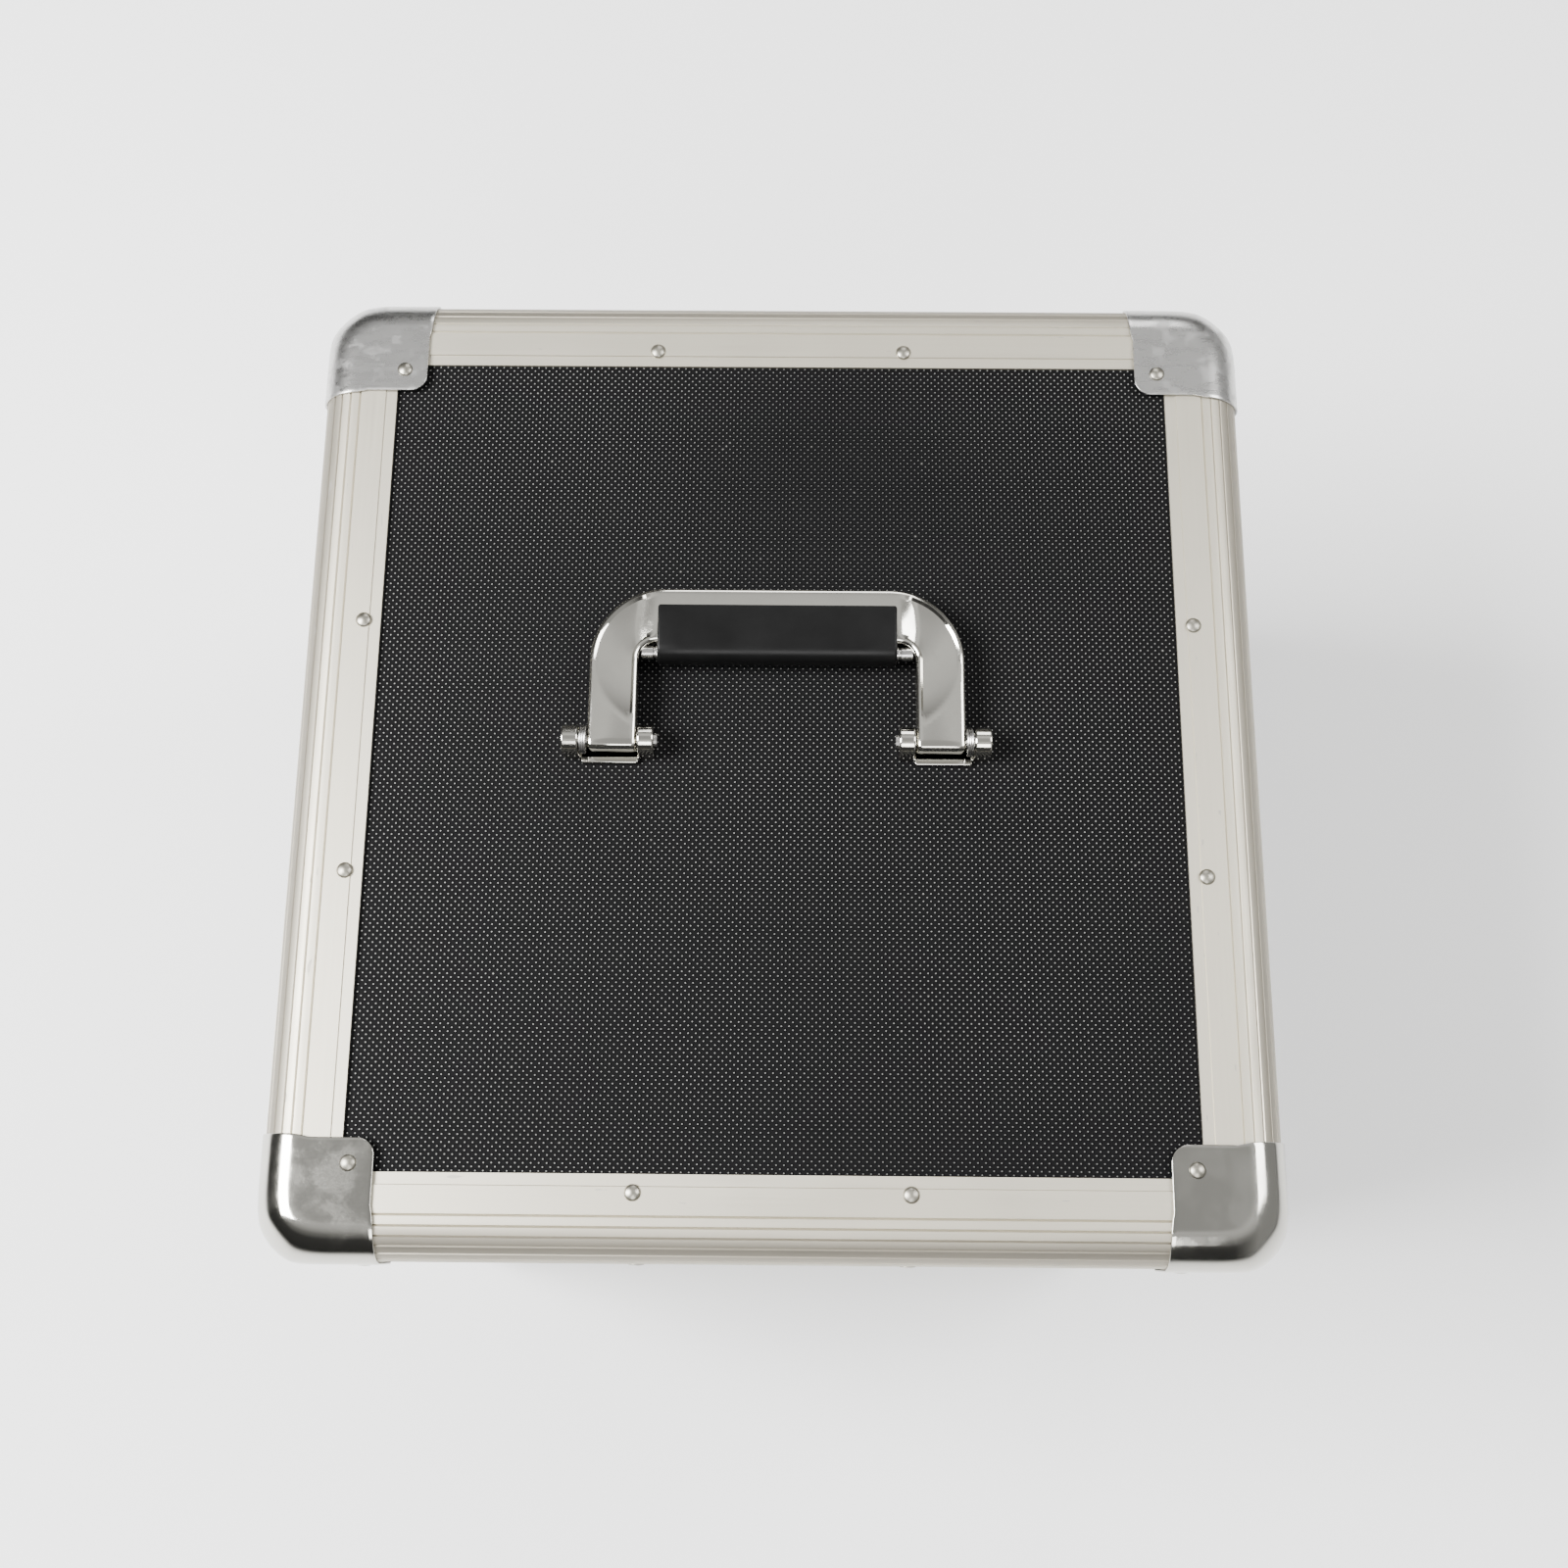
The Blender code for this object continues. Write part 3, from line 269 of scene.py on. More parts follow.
@dataclass(frozen=True)
class SatinAluminium:
    """Anodised aluminium extrusion: pale and satin, with die lines along its run, and roundings darkened with
    painted shade.
    """

    run: Axis
    place: "Place"
    colour: tuple[float, float, float] = (0.57, 0.535, 0.445)
    dull: tuple[float, float, float] = (0.31, 0.285, 0.235)
    roughness: float = 0.5
    rounding: float = 14.4 * MM

    def bend(self, graph: Graph) -> Link:
        """How far into a rounding a point lies, which masks the painted shade: 0 on the flat sides, 1 in the middle
        of a rounding.

        Each coordinate's depth past the start of the roundings is a share from 0 to 1, and the products of the three
        pairs of shares are summed.
        """
        low, high = self.place.corners()
        here = graph.node("ShaderNodeTexCoord", output="Object")
        depths = []
        for axis in Axis:
            along = graph.node("ShaderNodeSeparateXYZ", {}, {0: here}, output=axis.name)
            k = "XYZ".index(axis.name)
            middle, half = (low[k] + high[k]) / 2, (high[k] - low[k]) / 2
            away = ((along - middle) * (along - middle)).root()
            depths.append(((away - (half - self.rounding)) * (1 / self.rounding)).at_least(0.0))
        x, y, z = depths
        return (x * y + y * z + z * x).above(0.22, 0.44)

    def material(self) -> bpy.types.Material:
        """Streaks are noise stretched along the run; they move roughness, tone and a very low bump."""
        graph = Graph(f"satin_aluminium_along_{self.run.name.lower()}")
        stretch = tuple(1.0 - 0.985 * share for share in self.run.value)
        streaks = graph.noise(900.0, 3.0, 0.6, stretch)
        broad = graph.noise(38.0, 2.0, 0.5)
        drawn = tuple(1.0 - 0.8 * share for share in self.run.value)
        nicks = graph.noise(420.0, 2.0, 0.5, drawn).above(0.74, 0.03)
        # Painted shade: the roundings are mixed towards a darker colour, standing in for the lesser light that they
        # catch.
        rounding_shaded = graph.mix(self.bend(graph) * 0.85, self.colour, self.dull)
        tone = graph.mix(streaks * 0.35 + broad * 0.25, rounding_shaded, graph.mix(0.16, rounding_shaded, (0.0, 0.0, 0.0)))
        worn = graph.mix(nicks * 0.5, tone, (0.33, 0.32, 0.30))
        rough = self.roughness + (streaks - 0.5) * 0.14 + (broad - 0.5) * 0.08 + nicks * 0.1
        return graph.finish(base_color=worn, metallic=1.0, roughness=rough,
                            normal=graph.bump(streaks, 0.03 * MM, 0.5))


@dataclass(frozen=True)
class PointedLaminate:
    """Black laminate with small raised points, in staggered rows across one face of the case."""

    across: Axis
    along: Axis
    pitch: float = 2.0 * MM
    point_share: float = 0.36

    def material(self) -> bpy.types.Material:
        """Each point is a dome, 1 minus the squared distance from its centre, on a grid turned by 45 degrees; its
        tip is lightened with a painted highlight, patchy under a broad noise.
        """
        graph = Graph(f"pointed_laminate_{self.across.name.lower()}{self.along.name.lower()}")
        parts = graph.node("ShaderNodeTexCoord", output="Object")
        split = {axis: graph.node("ShaderNodeSeparateXYZ", {}, {0: parts}, output=axis.name)
                 for axis in (self.across, self.along)}
        u, v = split[self.across], split[self.along]
        step = self.pitch * math.sqrt(2)
        first = ((u + v) * (1 / step)).fraction() - 0.5
        second = ((u - v) * (1 / step) + 1000.0).fraction() - 0.5
        away = (first * first + second * second).root() * (1 / self.point_share)
        dome = (1.0 - away * away).at_least(0.0)
        grain = graph.noise(2600.0, 2.0, 0.5)
        cloud = graph.noise(22.0, 3.0, 0.55)
        dust = graph.noise(260.0, 1.0, 0.5).above(0.76, 0.02)
        dark = graph.mix(cloud, (0.0022, 0.0022, 0.0025), (0.0038, 0.0038, 0.004))
        # Painted highlight: the dome tips are mixed towards pale grey, patchy under a broad noise, standing in for
        # the lamps' glints.
        highlight_patches = graph.noise(5.0, 1.0, 0.5).above(0.5, 0.5)
        painted_tip_highlight = graph.mix(dome.above(0.86, 0.2) * (0.25 + highlight_patches * 0.75), dark, (0.26, 0.26, 0.25))
        dusty = graph.mix(dust * dome * 0.1, painted_tip_highlight, (0.42, 0.41, 0.38))
        rough = 0.66 - dome * 0.38 + (cloud - 0.5) * 0.12
        low = graph.bump(grain, 0.02 * MM, 0.4)
        return graph.finish(base_color=dusty, roughness=rough, specular_ior_level=0.07,
                            normal=graph.bump(dome, 0.45 * MM, 1.0, low))


@dataclass(frozen=True)
class BrightPlate:
    """Bright chrome plate with finger smudges and a few hairline scuffs."""

    name: str = "bright_chrome"
    colour: tuple[float, float, float] = (0.66, 0.645, 0.585)
    roughness: float = 0.07
    smudge: float = 0.05

    def material(self) -> bpy.types.Material:
        """Smudges are broad noise on the roughness; scuffs are thin ridges of a finer noise."""
        graph = Graph(self.name)
        smudges = graph.noise(70.0, 3.0, 0.6).above(0.52, 0.22)
        fine = graph.noise(650.0, 4.0, 0.65)
        ridge = (fine - 0.5) * (fine - 0.5)
        scuffs = 1.0 - ridge.above(0.0006, 0.0008)
        tone = graph.mix(smudges * 0.3, self.colour, tuple(c * 0.88 for c in self.colour))
        rough = self.roughness + smudges * self.smudge + scuffs * 0.03
        return graph.finish(base_color=tone, metallic=1.0, roughness=rough,
                            normal=graph.bump(fine, 0.02 * MM, 0.12))


@dataclass(frozen=True)
class ScuffedSteel:
    """Plated steel gone satin, with rubbed streaks and darker, rougher spots."""

    name: str = "scuffed_steel"
    colour: tuple[float, float, float] = (0.60, 0.60, 0.59)
    roughness: float = 0.24

    def material(self) -> bpy.types.Material:
        """Streaks run along one level direction and spots are soft noise; both darken and roughen the plate."""
        graph = Graph(self.name)
        streaks = graph.noise(420.0, 4.0, 0.62, (0.22, 1.0, 1.0))
        spots = graph.noise(120.0, 3.0, 0.6).above(0.6, 0.1)
        tone = graph.mix(streaks * 0.55 + spots * 0.25, self.colour, (0.36, 0.355, 0.35))
        rough = self.roughness + (streaks - 0.4) * 0.2 + spots * 0.1
        return graph.finish(base_color=tone, metallic=1.0, roughness=rough,
                            normal=graph.bump(streaks, 0.03 * MM, 0.35))


@dataclass(frozen=True)
class MouldedRubber:
    """Black moulded rubber, satin, with a fine grain."""

    name: str = "moulded_rubber"
    colour: tuple[float, float, float] = (0.011, 0.011, 0.012)
    roughness: float = 0.42
    gloss: float = 0.4

    def material(self) -> bpy.types.Material:
        """Grain is a fine bump, and handling marks are broad changes of gloss."""
        graph = Graph(self.name)
        grain = graph.noise(3200.0, 2.0, 0.5)
        marks = graph.noise(60.0, 3.0, 0.6)
        tone = graph.mix(marks, self.colour, tuple(c * 1.7 for c in self.colour))
        rough = self.roughness + (marks - 0.5) * 0.18
        return graph.finish(base_color=tone, roughness=rough, specular_ior_level=self.gloss,
                            normal=graph.bump(grain, 0.03 * MM, 0.35))


@dataclass(frozen=True)
class LiningFoam:
    """Dark grey sheet foam with its open cells."""

    name: str = "lining_foam"
    colour: tuple[float, float, float] = (0.030, 0.030, 0.032)

    def material(self) -> bpy.types.Material:
        """Cells are Voronoi pits over the whole sheet, darkened in their middles with painted shade, with a slow
        change of tone.
        """
        graph = Graph(self.name)
        pits = graph.node("ShaderNodeTexVoronoi", {"feature": "F1"}, {"Vector": graph.place(), "Scale": 1300.0})
        cloud = graph.noise(16.0, 3.0, 0.6)
        tone = graph.mix(cloud, self.colour, tuple(c * 1.9 for c in self.colour))
        # Painted shade: each cell darkens towards its middle, where the pit is deepest.
        painted_pit_shade = graph.mix(pits * 0.7, (0.012, 0.012, 0.013), tone)
        return graph.finish(base_color=painted_pit_shade, roughness=0.95, normal=graph.bump(pits, 0.25 * MM, 0.8))


@dataclass(frozen=True)
class PaleFloor:
    """The studio's white floor."""

    name: str = "pale_floor"

    def material(self) -> bpy.types.Material:
        """A matt white with the faintest change of tone; darker far from the case, painted shade for the light
        falling off.
        """
        graph = Graph(self.name)
        cloud = graph.noise(1.5, 2.0, 0.5)
        here = graph.node("ShaderNodeTexCoord", output="Object")
        away = graph.node("ShaderNodeVectorMath", {"operation": "LENGTH"}, {0: here}, output="Value")
        pale = graph.mix(cloud, (0.92, 0.92, 0.92), (0.95, 0.95, 0.95))
        # Painted shade: the floor falls to grey far from the case, for the light falling off.
        tone = graph.mix(away.above(2.6, 2.6), pale, (0.45, 0.45, 0.455))
        return graph.finish(base_color=tone, roughness=0.9)


@dataclass(frozen=True)
class Finishes:
    """Every material of the case, made once."""

    aluminium: dict[Axis, bpy.types.Material]
    laminate: dict[Axis, bpy.types.Material]
    chrome: bpy.types.Material
    corner: bpy.types.Material
    satin_corner: bpy.types.Material
    steel: bpy.types.Material
    rivet: bpy.types.Material
    latch: bpy.types.Material
    grip: bpy.types.Material
    rubber: bpy.types.Material
    foam: bpy.types.Material

    @classmethod
    def make(cls, place: "Place") -> "Finishes":
        """Makes the materials; a laminate is named by the axis that its face looks along."""
        laminate = {Axis.X: PointedLaminate(Axis.Y, Axis.Z), Axis.Y: PointedLaminate(Axis.X, Axis.Z),
                    Axis.Z: PointedLaminate(Axis.X, Axis.Y)}
        return cls(
            aluminium={axis: SatinAluminium(axis, place).material() for axis in Axis},
            laminate={axis: finish.material() for axis, finish in laminate.items()},
            chrome=BrightPlate().material(),
            corner=BrightPlate("corner_chrome", (0.49, 0.48, 0.435), 0.09, 0.07).material(),
            # Painted reflection: the back caps' paler, rougher copy of the plate.
            satin_corner=ScuffedSteel("satin_corner", (0.57, 0.565, 0.545), 0.26).material(),
            steel=ScuffedSteel("nickel_plate", (0.55, 0.54, 0.52), 0.24).material(),
            rivet=BrightPlate("rivet_nickel", (0.32, 0.305, 0.26), 0.34, 0.06).material(),
            latch=BrightPlate("latch_plate", (0.50, 0.49, 0.47), 0.22, 0.12).material(),
            grip=MouldedRubber("grip_rubber", (0.003, 0.003, 0.003), 0.34, 0.16).material(),
            rubber=MouldedRubber("foot_rubber", (0.016, 0.016, 0.016), 0.6).material(),
            foam=LiningFoam().material())


# Surfaces


class Surface:
    """Grids of points and flat end faces, gathered as arrays and made into one mesh."""

    def __init__(self) -> None:
        """Starts empty."""
        self.points: list[np.ndarray] = []
        self.faces: list[list[int]] = []
        self.count = 0

    def grid(self, points: np.ndarray, around: bool = False, along: bool = False) -> "Surface":
        """Adds a grid of quads.

        Args:
            points: an array of rows by columns by 3.
            around: whether the last column joins the first.
            along: whether the last row joins the first.

        Returns:
            This surface, so that calls can follow one another.
        """
        rows, columns = points.shape[:2]
        i = np.arange(rows if along else rows - 1)[:, None]
        j = np.arange(columns if around else columns - 1)[None, :]
        next_i, next_j = (i + 1) % rows, (j + 1) % columns
        corners = [i * columns + j, i * columns + next_j, next_i * columns + next_j, next_i * columns + j]
        quads = np.stack(np.broadcast_arrays(*corners), axis=-1).reshape(-1, 4) + self.count
        self.points.append(points.reshape(-1, 3))
        self.faces += quads.tolist()
        self.count += rows * columns
        return self

    def cap(self, loop: np.ndarray) -> "Surface":
        """Adds one flat face round a loop of points."""
        self.points.append(loop.reshape(-1, 3))
        self.faces.append(list(range(self.count, self.count + len(loop))))
        self.count += len(loop)
        return self

    def bar(self, sections: np.ndarray) -> "Surface":
        """Adds a closed bar: sections in order, joined round, with its two ends filled."""
        return self.grid(sections, around=True).cap(sections[0]).cap(sections[-1])

    def piece(self, name: str, material: bpy.types.Material, facing: Sequence[float] | None = None,
              smooth_below: float = 32.0) -> bpy.types.Object:
        """Makes the object.

        Args:
            name: its name.
            material: its material.
            facing: the side that an open sheet looks to; None for closed forms.
            smooth_below: the edge angle in degrees up to which shading is smooth.

        Returns:
            The new object, at the origin.
        """
        mesh = bpy.data.meshes.new(name)
        mesh.from_pydata(np.concatenate(self.points).tolist(), [], self.faces)
        work = bmesh.new()
        work.from_mesh(mesh)
        bmesh.ops.remove_doubles(work, verts=work.verts, dist=0.001 * MM)
        bmesh.ops.dissolve_degenerate(work, dist=0.0005 * MM, edges=work.edges)
        bmesh.ops.recalc_face_normals(work, faces=work.faces)
        if facing is not None:
            look = sum(face.normal.dot(Vector(facing)) * face.calc_area() for face in work.faces)
            if look < 0:
                bmesh.ops.reverse_faces(work, faces=work.faces)
        work.to_mesh(mesh)
        work.free()
        mesh.shade_smooth()
        mesh.set_sharp_from_angle(angle=math.radians(smooth_below))
        mesh.materials.append(material)
        made = bpy.data.objects.new(name, mesh)
        bpy.context.scene.collection.objects.link(made)
        return made


def thicken(piece: bpy.types.Object, thickness: float) -> None:
    """Gives an open sheet its wall, behind the side that it faces."""
    wall = piece.modifiers.new("wall", "SOLIDIFY")
    wall.thickness = thickness
    wall.offset = -1.0
    wall.use_even_offset = True


def ease_edges(piece: bpy.types.Object, width: float, segments: int = 2, angle: float = 40.0) -> None:
    """Rounds the edges of a piece that are sharper than an angle."""
    bevel = piece.modifiers.new("edges", "BEVEL")
    bevel.width = width
    bevel.segments = segments
    bevel.limit_method = "ANGLE"
    bevel.angle_limit = math.radians(angle)
    bevel.harden_normals = False


def arc(centre: Sequence[float], radius: float, start: float, end: float, steps: int) -> np.ndarray:
    """Points of an arc in a plane: the centre plus the radius times cosine and sine of evenly spaced turns."""
    turns = np.linspace(start, end, steps + 1)
    return np.stack([centre[0] + radius * np.cos(turns), centre[1] + radius * np.sin(turns)], axis=-1)


def laid(section: np.ndarray, origin: np.ndarray, across: np.ndarray, up: np.ndarray) -> np.ndarray:
    """Sections in space: each origin plus a section's two coordinates along two directions.

    Args:
        section: an array of points by 2, or of stations by points by 2.
        origin: an array of 3, or of stations by 3.
        across: the direction of the first coordinate, one or one for each station.
        up: the direction of the second coordinate, one or one for each station.

    Returns:
        An array of stations by points by 3.
    """
    section, origin = np.asarray(section), np.atleast_2d(origin)
    across, up = np.atleast_2d(across), np.atleast_2d(up)
    if section.ndim == 2:
        section = section[None]
    return (origin[:, None] + across[:, None] * section[..., 0:1] + up[:, None] * section[..., 1:2])


def turned(profile: Sequence[Sequence[float]], centre: Sequence[float], axis: Sequence[float],
           steps: int = 32) -> np.ndarray:
    """A turned form: each profile point, a radius and a height, carried round an axis.

    Args:
        profile: pairs of radius and height; ends on the axis have radius 0.
        centre: the point where height is 0.
        axis: the direction of height.
        steps: how many points a turn has.

    Returns:
        A grid of profile points by steps by 3, to be joined around.
    """
    shape = np.asarray(profile, float)
    up = np.asarray(axis, float) / np.linalg.norm(axis)
    side = np.cross(up, (0.0, 0.0, 1.0) if abs(up[2]) < 0.9 else (0.0, 1.0, 0.0))
    side /= np.linalg.norm(side)
    other = np.cross(up, side)
    turns = np.arange(steps) * (2 * math.pi / steps)
    ring = np.cos(turns)[:, None] * side + np.sin(turns)[:, None] * other
    return np.asarray(centre, float) + shape[:, None, 0:1] * ring[None] + shape[:, None, 1:2] * up


def rounded(half_width: float, half_height: float, radius: float, steps: int = 5) -> np.ndarray:
    """A rectangle round the middle with its four corners rounded: four quarter circles in order."""
    x, y = half_width - radius, half_height - radius
    corners = ((x, y, 0), (-x, y, 1), (-x, -y, 2), (x, -y, 3))
    return np.concatenate([arc((cx, cy), radius, k * QUARTER, (k + 1) * QUARTER, steps)
                           for cx, cy, k in corners])


# The case's frame


@dataclass(frozen=True)
class Place:
    """Where the case stands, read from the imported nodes: its outer faces without the ball corners."""

    left: float
    right: float
    front: float
    back: float
    bottom: float
    split: float
    top: float

    @classmethod
    def read(cls) -> "Place":
        """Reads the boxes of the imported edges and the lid's rim."""
        level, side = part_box("lid_edge_front"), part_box("lid_edge_left")
        return cls(left=side[0].x, right=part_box("lid_edge_right")[1].x, front=level[0].y,
                   back=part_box("lid_edge_back")[1].y, bottom=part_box("base_edge_front")[0].z,
                   split=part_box("lid_rim")[0].z - GAP / 2, top=level[1].z)

    @property
    def middle_y(self) -> float:
        """The middle of the case, front to back."""
        return (self.front + self.back) / 2

    @property
    def half_depth(self) -> float:
        """Half of the case's depth."""
        return (self.back - self.front) / 2

    def face(self, half: Half) -> float:
        """The height of a half's flat outer face."""
        return self.top if half is Half.LID else self.bottom

    def corners(self) -> tuple[tuple[float, float, float], tuple[float, float, float]]:
        """The lowest and highest corner of the case's outer faces."""
        return (self.left, self.front, self.bottom), (self.right, self.back, self.top)


def outer_corner(node: str, inward: np.ndarray, onward: np.ndarray) -> np.ndarray:
    """The middle of the outer corner line of a packed extrusion, from its box and its two inward directions."""
    low, high = (np.array(corner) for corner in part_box(node))
    toward = inward + onward
    return np.where(toward > 0, low, np.where(toward < 0, high, (low + high) / 2))


# Extrusions and rims


@dataclass(frozen=True)
class EdgeExtrusion:
    """The aluminium edge: a ribbed rounding between two flanges, with a channel behind each."""

    width: float = 31.1 * MM
    radius: float = 14.4 * MM
    sheet: float = 1.5 * MM
    lip_width: float = 4.2 * MM
    lip_drop: float = 0.4 * MM
    lip_slope: float = 0.25 * MM
    groove_count: int = 8
    groove_pitch: float = 3.8 * MM
    groove_width: float = 0.9 * MM
    groove_depth: float = 0.62 * MM
    channel_floor: float = 10.7 * MM
    leg: float = 9.1 * MM
    leg_end: float = 22.1 * MM
    samples: int = 141

    def outer(self) -> np.ndarray:
        """The outer surface by its travel from lip to lip.

        A point lies on one flange, on the quarter circle or on the other flange, and sinks by the lip's drop near
        both ends and by a V near each groove's middle.
        """
        flat = self.width - self.radius
        quarter = self.radius * QUARTER
        whole = 2 * flat + quarter
        grooves = whole / 2 + self.groove_pitch * (np.arange(self.groove_count) - (self.groove_count - 1) / 2)
        notch = grooves[:, None] + self.groove_width / 2 * np.array([-1.0, -0.5, 0.0, 0.5, 1.0])
        steps = np.array([0.0, self.lip_width, self.lip_width + self.lip_slope])
        even = np.linspace(0, whole, self.samples)
        travel = np.unique(np.concatenate([even, notch.ravel(), steps, whole - steps]))
        from_end = np.minimum(travel, whole - travel)
        lip = self.lip_drop * np.clip((self.lip_width + self.lip_slope - from_end) / self.lip_slope, 0, 1)
        away = np.abs(travel[:, None] - grooves).min(axis=1)
        sink = lip + self.groove_depth * np.clip(1 - away / (self.groove_width / 2), 0, 1)
        turn = np.clip((travel - flat) / self.radius, 0, QUARTER)
        x = self.radius - (self.radius - sink) * np.sin(turn) + np.maximum(flat - travel, 0)
        y = self.radius - (self.radius - sink) * np.cos(turn) + np.maximum(travel - flat - quarter, 0)
        return np.stack([x, y], axis=-1)

    def outline(self) -> np.ndarray:
        """The whole section: the outer surface, then the walls of the two channels."""
        foot = self.leg + self.sheet
        side = np.array([(self.sheet, self.width), (self.sheet, self.channel_floor),
                         (self.leg, self.channel_floor), (self.leg, self.leg_end), (foot, self.leg_end),
                         (foot, foot)])
        return np.concatenate([self.outer(), side, side[-2::-1, ::-1]])

    def build(self, half: Half, place: Place, finishes: Finishes) -> None:
        """Makes the four level edges and the four uprights of a half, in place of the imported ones."""
        onward = -half.outward * Axis.Z.vector
        level = {"front": Axis.Y.vector, "back": -Axis.Y.vector,
                 "left": Axis.X.vector, "right": -Axis.X.vector}
        for side, inward in level.items():
            run = Axis.X if side in ("front", "back") else Axis.Y
            self._length(f"{half.body}_edge_{side}", inward, onward, run, half, finishes)
        for depth in ("front", "back"):
            for width in ("left", "right"):
                name = f"{half.body}_upright_{depth}_{width}"
                self._length(name, level[width], level[depth], Axis.Z, half, finishes)

    def _length(self, node: str, inward: np.ndarray, onward: np.ndarray, run: Axis, half: Half,
                finishes: Finishes) -> None:
        """One straight length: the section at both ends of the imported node."""
        low, high = (np.array(corner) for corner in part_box(node))
        middle = outer_corner(node, inward, onward)
        ends = middle + run.vector * (np.array([low, high]) - middle)
        surface = Surface().bar(laid(self.outline(), ends, inward, onward))
        piece = surface.piece(f"fine_{node}", finishes.aluminium[run])
        adopt(piece, half.body, "aluminium", node)


@dataclass(frozen=True)
class MouthRim:
    """The rim extrusion round the mouth: outer flange, web, inner leg, and the tongue or its groove."""

    bend: float = 14.4 * MM
    flange: float = 18.0 * MM
    block: float = 6.0 * MM
    sheet: float = 1.5 * MM
    leg: float = 9.1 * MM
    leg_height: float = 14.0 * MM
    tongue_from: float = 4.0 * MM
    tongue_to: float = 5.6 * MM
    tongue_height: float = 3.4 * MM
    tongue_taper: float = 0.4 * MM
    bend_steps: int = 14
    slot_from: float = 41.7 * MM
    slot_to: float = 148.3 * MM
    slot_depth: float = 8.9 * MM

    def section(self, half: Half) -> np.ndarray:
        """The section as insets from the outer face and heights from the split towards the half's own panel."""
        meet, foot = GAP / 2, self.leg + self.sheet
        edge = 0.3 * MM
        outer = [(edge, meet), (0, meet + edge), (0, self.flange - edge), (edge, self.flange),
                 (self.sheet, self.flange), (self.sheet, self.block), (self.leg, self.block), (self.leg, self.leg_height),
                 (foot, self.leg_height), (foot, meet)]
        if half is Half.BASE:
            tongue = [(self.tongue_to, meet), (self.tongue_to - self.tongue_taper, -self.tongue_height),
                      (self.tongue_from + self.tongue_taper, -self.tongue_height), (self.tongue_from, meet)]
        else:
            roof = self.tongue_height + GAP
            tongue = [(self.tongue_to + GAP + roof, meet), (self.tongue_to + GAP, roof),
                      (self.tongue_from - GAP, roof), (self.tongue_from - GAP, meet)]
        return np.array(outer + tongue)

    def path(self, place: Place) -> tuple[np.ndarray, np.ndarray]:
        """The long run from one latch round the back to the other: points on the outer face and ways inwards."""
        x, y = place.right - self.bend, place.half_depth - self.bend
        centres, angles = [], []
        for k, (sx, sy) in enumerate(((1, -1), (1, 1), (-1, 1), (-1, -1))):
            swing = np.linspace((k - 1) * QUARTER, k * QUARTER, self.bend_steps + 1)
            angles.append(swing)
            centres.append(np.tile((sx * x, sy * y, 0.0), (len(swing), 1)))
        angle = np.concatenate([[-QUARTER], *angles, [3 * QUARTER]])
        centre = np.concatenate([[(self.slot_to, -y, 0.0)], *centres, [(-self.slot_to, -y, 0.0)]])
        outward = np.stack([np.cos(angle), np.sin(angle), np.zeros_like(angle)], axis=-1)
        return centre + outward * self.bend + (0, place.middle_y, place.split), -outward

    def build(self, half: Half, place: Place, finishes: Finishes) -> None:
        """The long bent run, the short run between the latches, and the inner leg that passes behind them."""
        up = half.outward * Axis.Z.vector
        section = self.section(half)
        points, inward = self.path(place)
        surface = Surface().bar(laid(section, points, inward, up))
        short = np.array([(end, place.front, place.split) for end in (-self.slot_from, self.slot_from)])
        surface.bar(laid(section, short, Axis.Y.vector, up))
        leg = np.array([(self.slot_depth, GAP / 2), (self.slot_depth, self.leg_height),
                        (self.leg + self.sheet, self.leg_height), (self.leg + self.sheet, GAP / 2)])
        for side in (-1, 1):
            ends = np.array([(side * self.slot_from, place.front, place.split),
                             (side * self.slot_to, place.front, place.split)])
            surface.bar(laid(leg, ends, Axis.Y.vector, up))
        piece = surface.piece(f"fine_{half.body}_rim", finishes.aluminium[Axis.X])
        adopt(piece, half.body, "aluminium", f"{half.body}_rim")


# Ball corners and rivets


